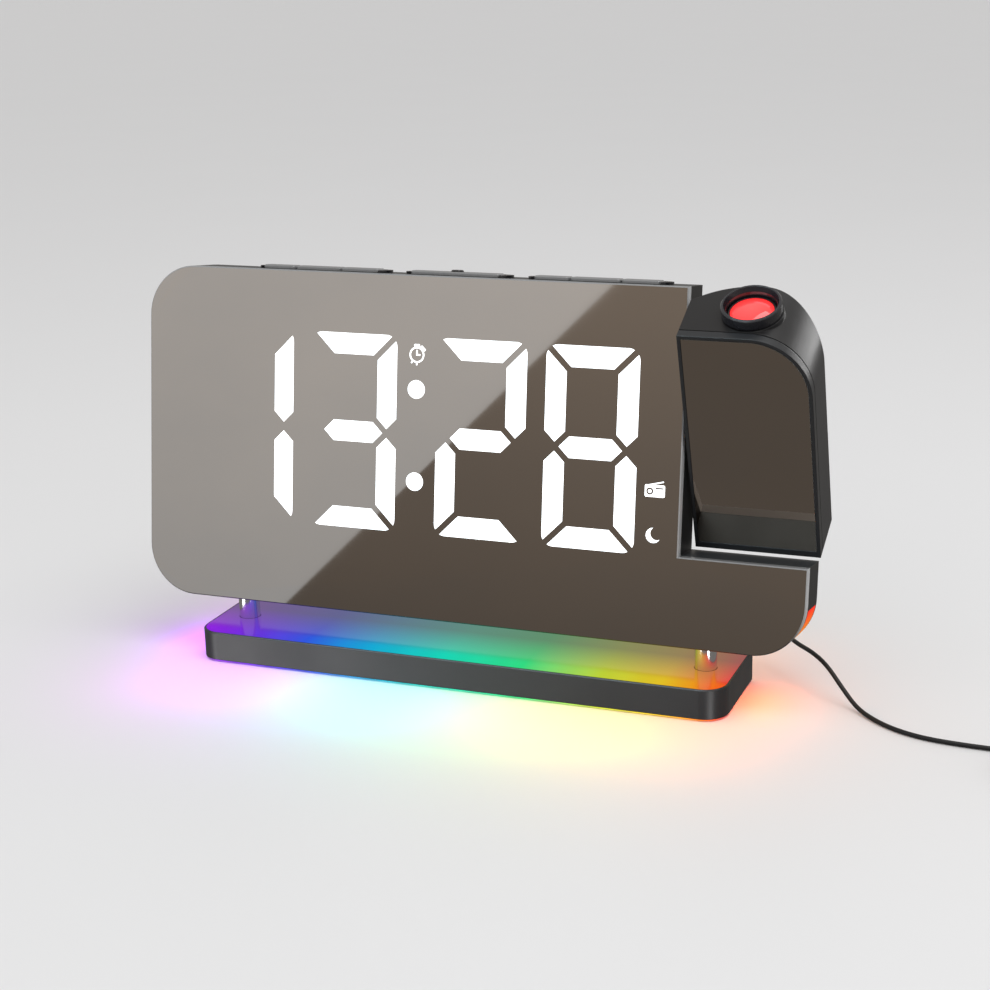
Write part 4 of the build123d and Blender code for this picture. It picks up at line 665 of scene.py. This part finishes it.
class CLOCK_OT_keys(bpy.types.Operator):
    """Seven silver keys, their black surrounds and the dot on the long one"""
    bl_idname = "clock.keys"
    bl_label = "Keys"

    def execute(self, context):
        looks = context.scene.clock_finishes
        lacquer = Finish("key_lacquer", Metallic=0.35, Coat_Weight=0.15)
        flakes = lacquer.noise(5200.0, 2.0)
        lacquer.put("Base Color", lacquer.mix(flakes, tinted(looks.key_tint, 0.85),
                                              tinted(looks.key_tint, 1.15)))
        lacquer.put("Roughness", lacquer.span(lacquer.noise(120.0, 3.0), 0.3, 0.7, 0.30, 0.42))
        lacquer.relief(flakes, 0.00001, 0.25, edge=0.00025)
        side_keys = [name for name in NODES if name.startswith(("key_left", "key_right"))]
        lacquer.dress(*side_keys, "key_snooze")
        trim = glossy("key_trim", looks.gloss_tint, 0.18)
        trim.dress("snooze_dot")
        rims = new_piece("key_rims", self.low_rims(0.00035), "clock", trim)
        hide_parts("key_surrounds")
        return {"FINISHED"}

    def low_rims(self, gap):
        """The surrounds with a low front rim, so that the keys show above the mirror."""
        end_inset, slack, front_wall, left_proud = 0.00004, 0.00003, 0.0047, 0.00012
        rims = bmesh.new()
        rims.from_mesh(NODES["key_surrounds"].data)
        bmesh.ops.remove_doubles(rims, verts=rims.verts, dist=1e-6)
        levels = [(vert.co - HOUSING_ORIGIN).dot(HOUSING_UP) for vert in rims.verts]
        foot, top = min(levels), max(levels)
        groups = (("key_left_1", "key_left_3"), ("key_snooze", "key_snooze"), ("key_right_1", "key_right_3"))
        for first, last in groups:
            left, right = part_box(first)[0][0] - gap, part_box(last)[1][0] + gap
            for x in (left + end_inset, right - end_inset):
                everything = rims.verts[:] + rims.edges[:] + rims.faces[:]
                bmesh.ops.bisect_plane(rims, geom=everything, plane_co=(x, 0, 0), plane_no=(1, 0, 0))
            for vert in rims.verts:
                offset = vert.co - HOUSING_ORIGIN
                level = offset.dot(HOUSING_UP)
                in_slot = left + slack < vert.co.x < right - slack
                in_front = offset.dot(HOUSING_IN) < front_wall
                if in_slot and in_front and level > top - 0.0001:
                    vert.co -= HOUSING_UP * (top - foot - left_proud)
        mesh = bpy.data.meshes.new("key_rims")
        rims.to_mesh(mesh)
        rims.free()
        return mesh


class CLOCK_OT_stand(bpy.types.Operator):
    """Posts, base shell, glossy top plate and underside"""
    bl_idname = "clock.stand"
    bl_label = "Stand"

    def execute(self, context):
        looks, lights = context.scene.clock_finishes, context.scene.clock_lights
        plating = metal("chrome_plate", (0.86, 0.86, 0.87), 0.14, (1.0, 1.0, 0.05), 500.0)
        plating.dress("stand_posts")
        satin("base_satin", tinted(looks.shell_tint, 1.1), 0.36).dress("base_shell", "base_plate")
        plate = Finish("base_gloss", IOR=1.45)
        cloud = plate.noise(40.0, 3.0)
        plate.put("Base Color", plate.mix(cloud, (0.010, 0.010, 0.012), (0.016, 0.016, 0.019)))
        plate.put("Roughness", plate.span(cloud, 0.3, 0.7, 0.08, 0.13))
        plate.relief(plate.noise(25.0, 1.0), 0.00002, 0.25, edge=0.0002)
        # painted light: the glossy black plate glows in the strip's colours, strong at the front and dulled
        # towards the rear, where light from the housing strip and its reflection would fall
        colours = ambient_colour(plate, BASE_GUIDE_HALF)
        depth = plate.axis((0, 1, 0), (0, 0, 0))
        painted_glow_rear_tone = plate.mix(0.72, colours, (0.07, 0.065, 0.06))
        painted_glow_colour = plate.mix(plate.span(depth, -0.012, 0.006), colours, painted_glow_rear_tone)
        plate.put("Emission Color", painted_glow_colour)
        plate.put("Emission Strength", plate.calc("MULTIPLY", plate.facing((0, 0, 1)), lights.plate_painted_glow))
        plate.dress("base_top_plate")
        weight = metal("weight_steel", (0.35, 0.35, 0.36), 0.35, (0.05, 1.0, 1.0))
        weight.dress("base_weight", "post_screws", "base_screws")
        rubbery("grip_rubber", (0.02, 0.02, 0.021), 0.75).dress("base_grip_pad")
        return {"FINISHED"}


class CLOCK_OT_projector(bpy.types.Operator):
    """Projector arm, its mirror, focus ring and glowing lens"""
    bl_idname = "clock.projector"
    bl_label = "Projector arm"

    def execute(self, context):
        looks, lights = context.scene.clock_finishes, context.scene.clock_lights
        satin("arm_satin", looks.shell_tint, 0.34).dress("arm_shell", "arm_bezel")
        mirror_finish("arm_mirror_glass", looks.mirror_tint, looks.mirror_blur, looks.edge_highlight_tint,
                      ARM_IN).dress("arm_mirror")
        ring = glossy("ring_black", tinted(looks.gloss_tint, 1.2), 0.22)
        ring.dress("focus_ring", "lens_barrel", "lens_holder", "light_cradle")
        low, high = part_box("projector_lens")
        centre = (Vector(low) + Vector(high)) / 2
        glass = Finish("lens_light", Roughness=0.06, Coat_Weight=1.0, Emission_Strength=lights.lens_glow)
        spread = glass.span(glass.away_from(centre), 0.0, 0.0056)
        reds = [(0.0, (0.95, 0.06, 0.055)), (0.55, (0.95, 0.03, 0.03)), (0.9, lights.lens_tint),
                (1.0, (0.45, 0.0, 0.0))]
        glass.put("Emission Color", glass.ramp(spread, reds))
        glass.put("Base Color", (0.5, 0.03, 0.03))
        glass.dress("projector_lens")
        metal("turned_steel", (0.6, 0.6, 0.61), 0.22).dress("arm_axle", "axle_washer", "axle_ring")
        film = Finish("film_glass", Roughness=0.2)
        film.put("Base Color", film.mix(film.noise(900.0), (0.02, 0.025, 0.03), (0.05, 0.06, 0.065)))
        film.dress("time_film")
        clear = Finish("condenser_glass", Roughness=0.04, Transmission_Weight=0.9, IOR=1.5)
        clear.put("Base Color", clear.mix(clear.noise(80.0), (0.85, 0.9, 0.94), (0.93, 0.96, 0.98)))
        clear.dress("condenser_lens")
        nylon = Finish("nylon", Roughness=0.45)
        nylon.put("Base Color", nylon.mix(nylon.noise(500.0), (0.72, 0.72, 0.70), (0.80, 0.80, 0.78)))
        nylon.dress("axle_bush")
        return {"FINISHED"}


class CLOCK_OT_insides(bpy.types.Operator):
    """Circuit boards and spacers"""
    bl_idname = "clock.insides"
    bl_label = "Insides"

    def execute(self, context):
        board_finish("solder_mask").dress("display_board", "main_board", "key_board", "housing_led_strip",
                                          "base_led_strips", "projector_light")
        metal("spacer_brass", (0.80, 0.58, 0.25), 0.25).dress("board_spacers")
        return {"FINISHED"}


class CLOCK_PT_panel(bpy.types.Panel):
    """Lists the clock's operators and sizes"""
    bl_label = "Projection clock"
    bl_idname = "CLOCK_PT_panel"
    bl_space_type = "VIEW_3D"
    bl_region_type = "UI"
    bl_category = "Clock"

    def draw(self, context):
        for operator in OPERATORS:
            self.layout.operator(operator.bl_idname)
        for group in GROUPS:
            settings = getattr(context.scene, GROUPS[group])
            box = self.layout.box()
            for name in group.__annotations__:
                box.prop(settings, name)


GROUPS = {ClockFinishes: "clock_finishes", ClockLights: "clock_lights", ClockAerial: "clock_aerial",
          ClockStage: "clock_stage"}
OPERATORS = [CLOCK_OT_stage, CLOCK_OT_aerial, CLOCK_OT_housing, CLOCK_OT_display, CLOCK_OT_ambient,
             CLOCK_OT_keys, CLOCK_OT_stand, CLOCK_OT_projector, CLOCK_OT_insides]


def register():
    for group, name in GROUPS.items():
        bpy.utils.register_class(group)
        setattr(bpy.types.Scene, name, PointerProperty(type=group))
    for operator in OPERATORS:
        bpy.utils.register_class(operator)
    bpy.utils.register_class(CLOCK_PT_panel)


def unregister():
    bpy.utils.unregister_class(CLOCK_PT_panel)
    for operator in reversed(OPERATORS):
        bpy.utils.unregister_class(operator)
    for group, name in GROUPS.items():
        delattr(bpy.types.Scene, name)
        bpy.utils.unregister_class(group)


def main():
    register()
    for operator in OPERATORS:
        family, name = operator.bl_idname.split(".")
        getattr(getattr(bpy.ops, family), name)()


if __name__ == "__main__":
    main()
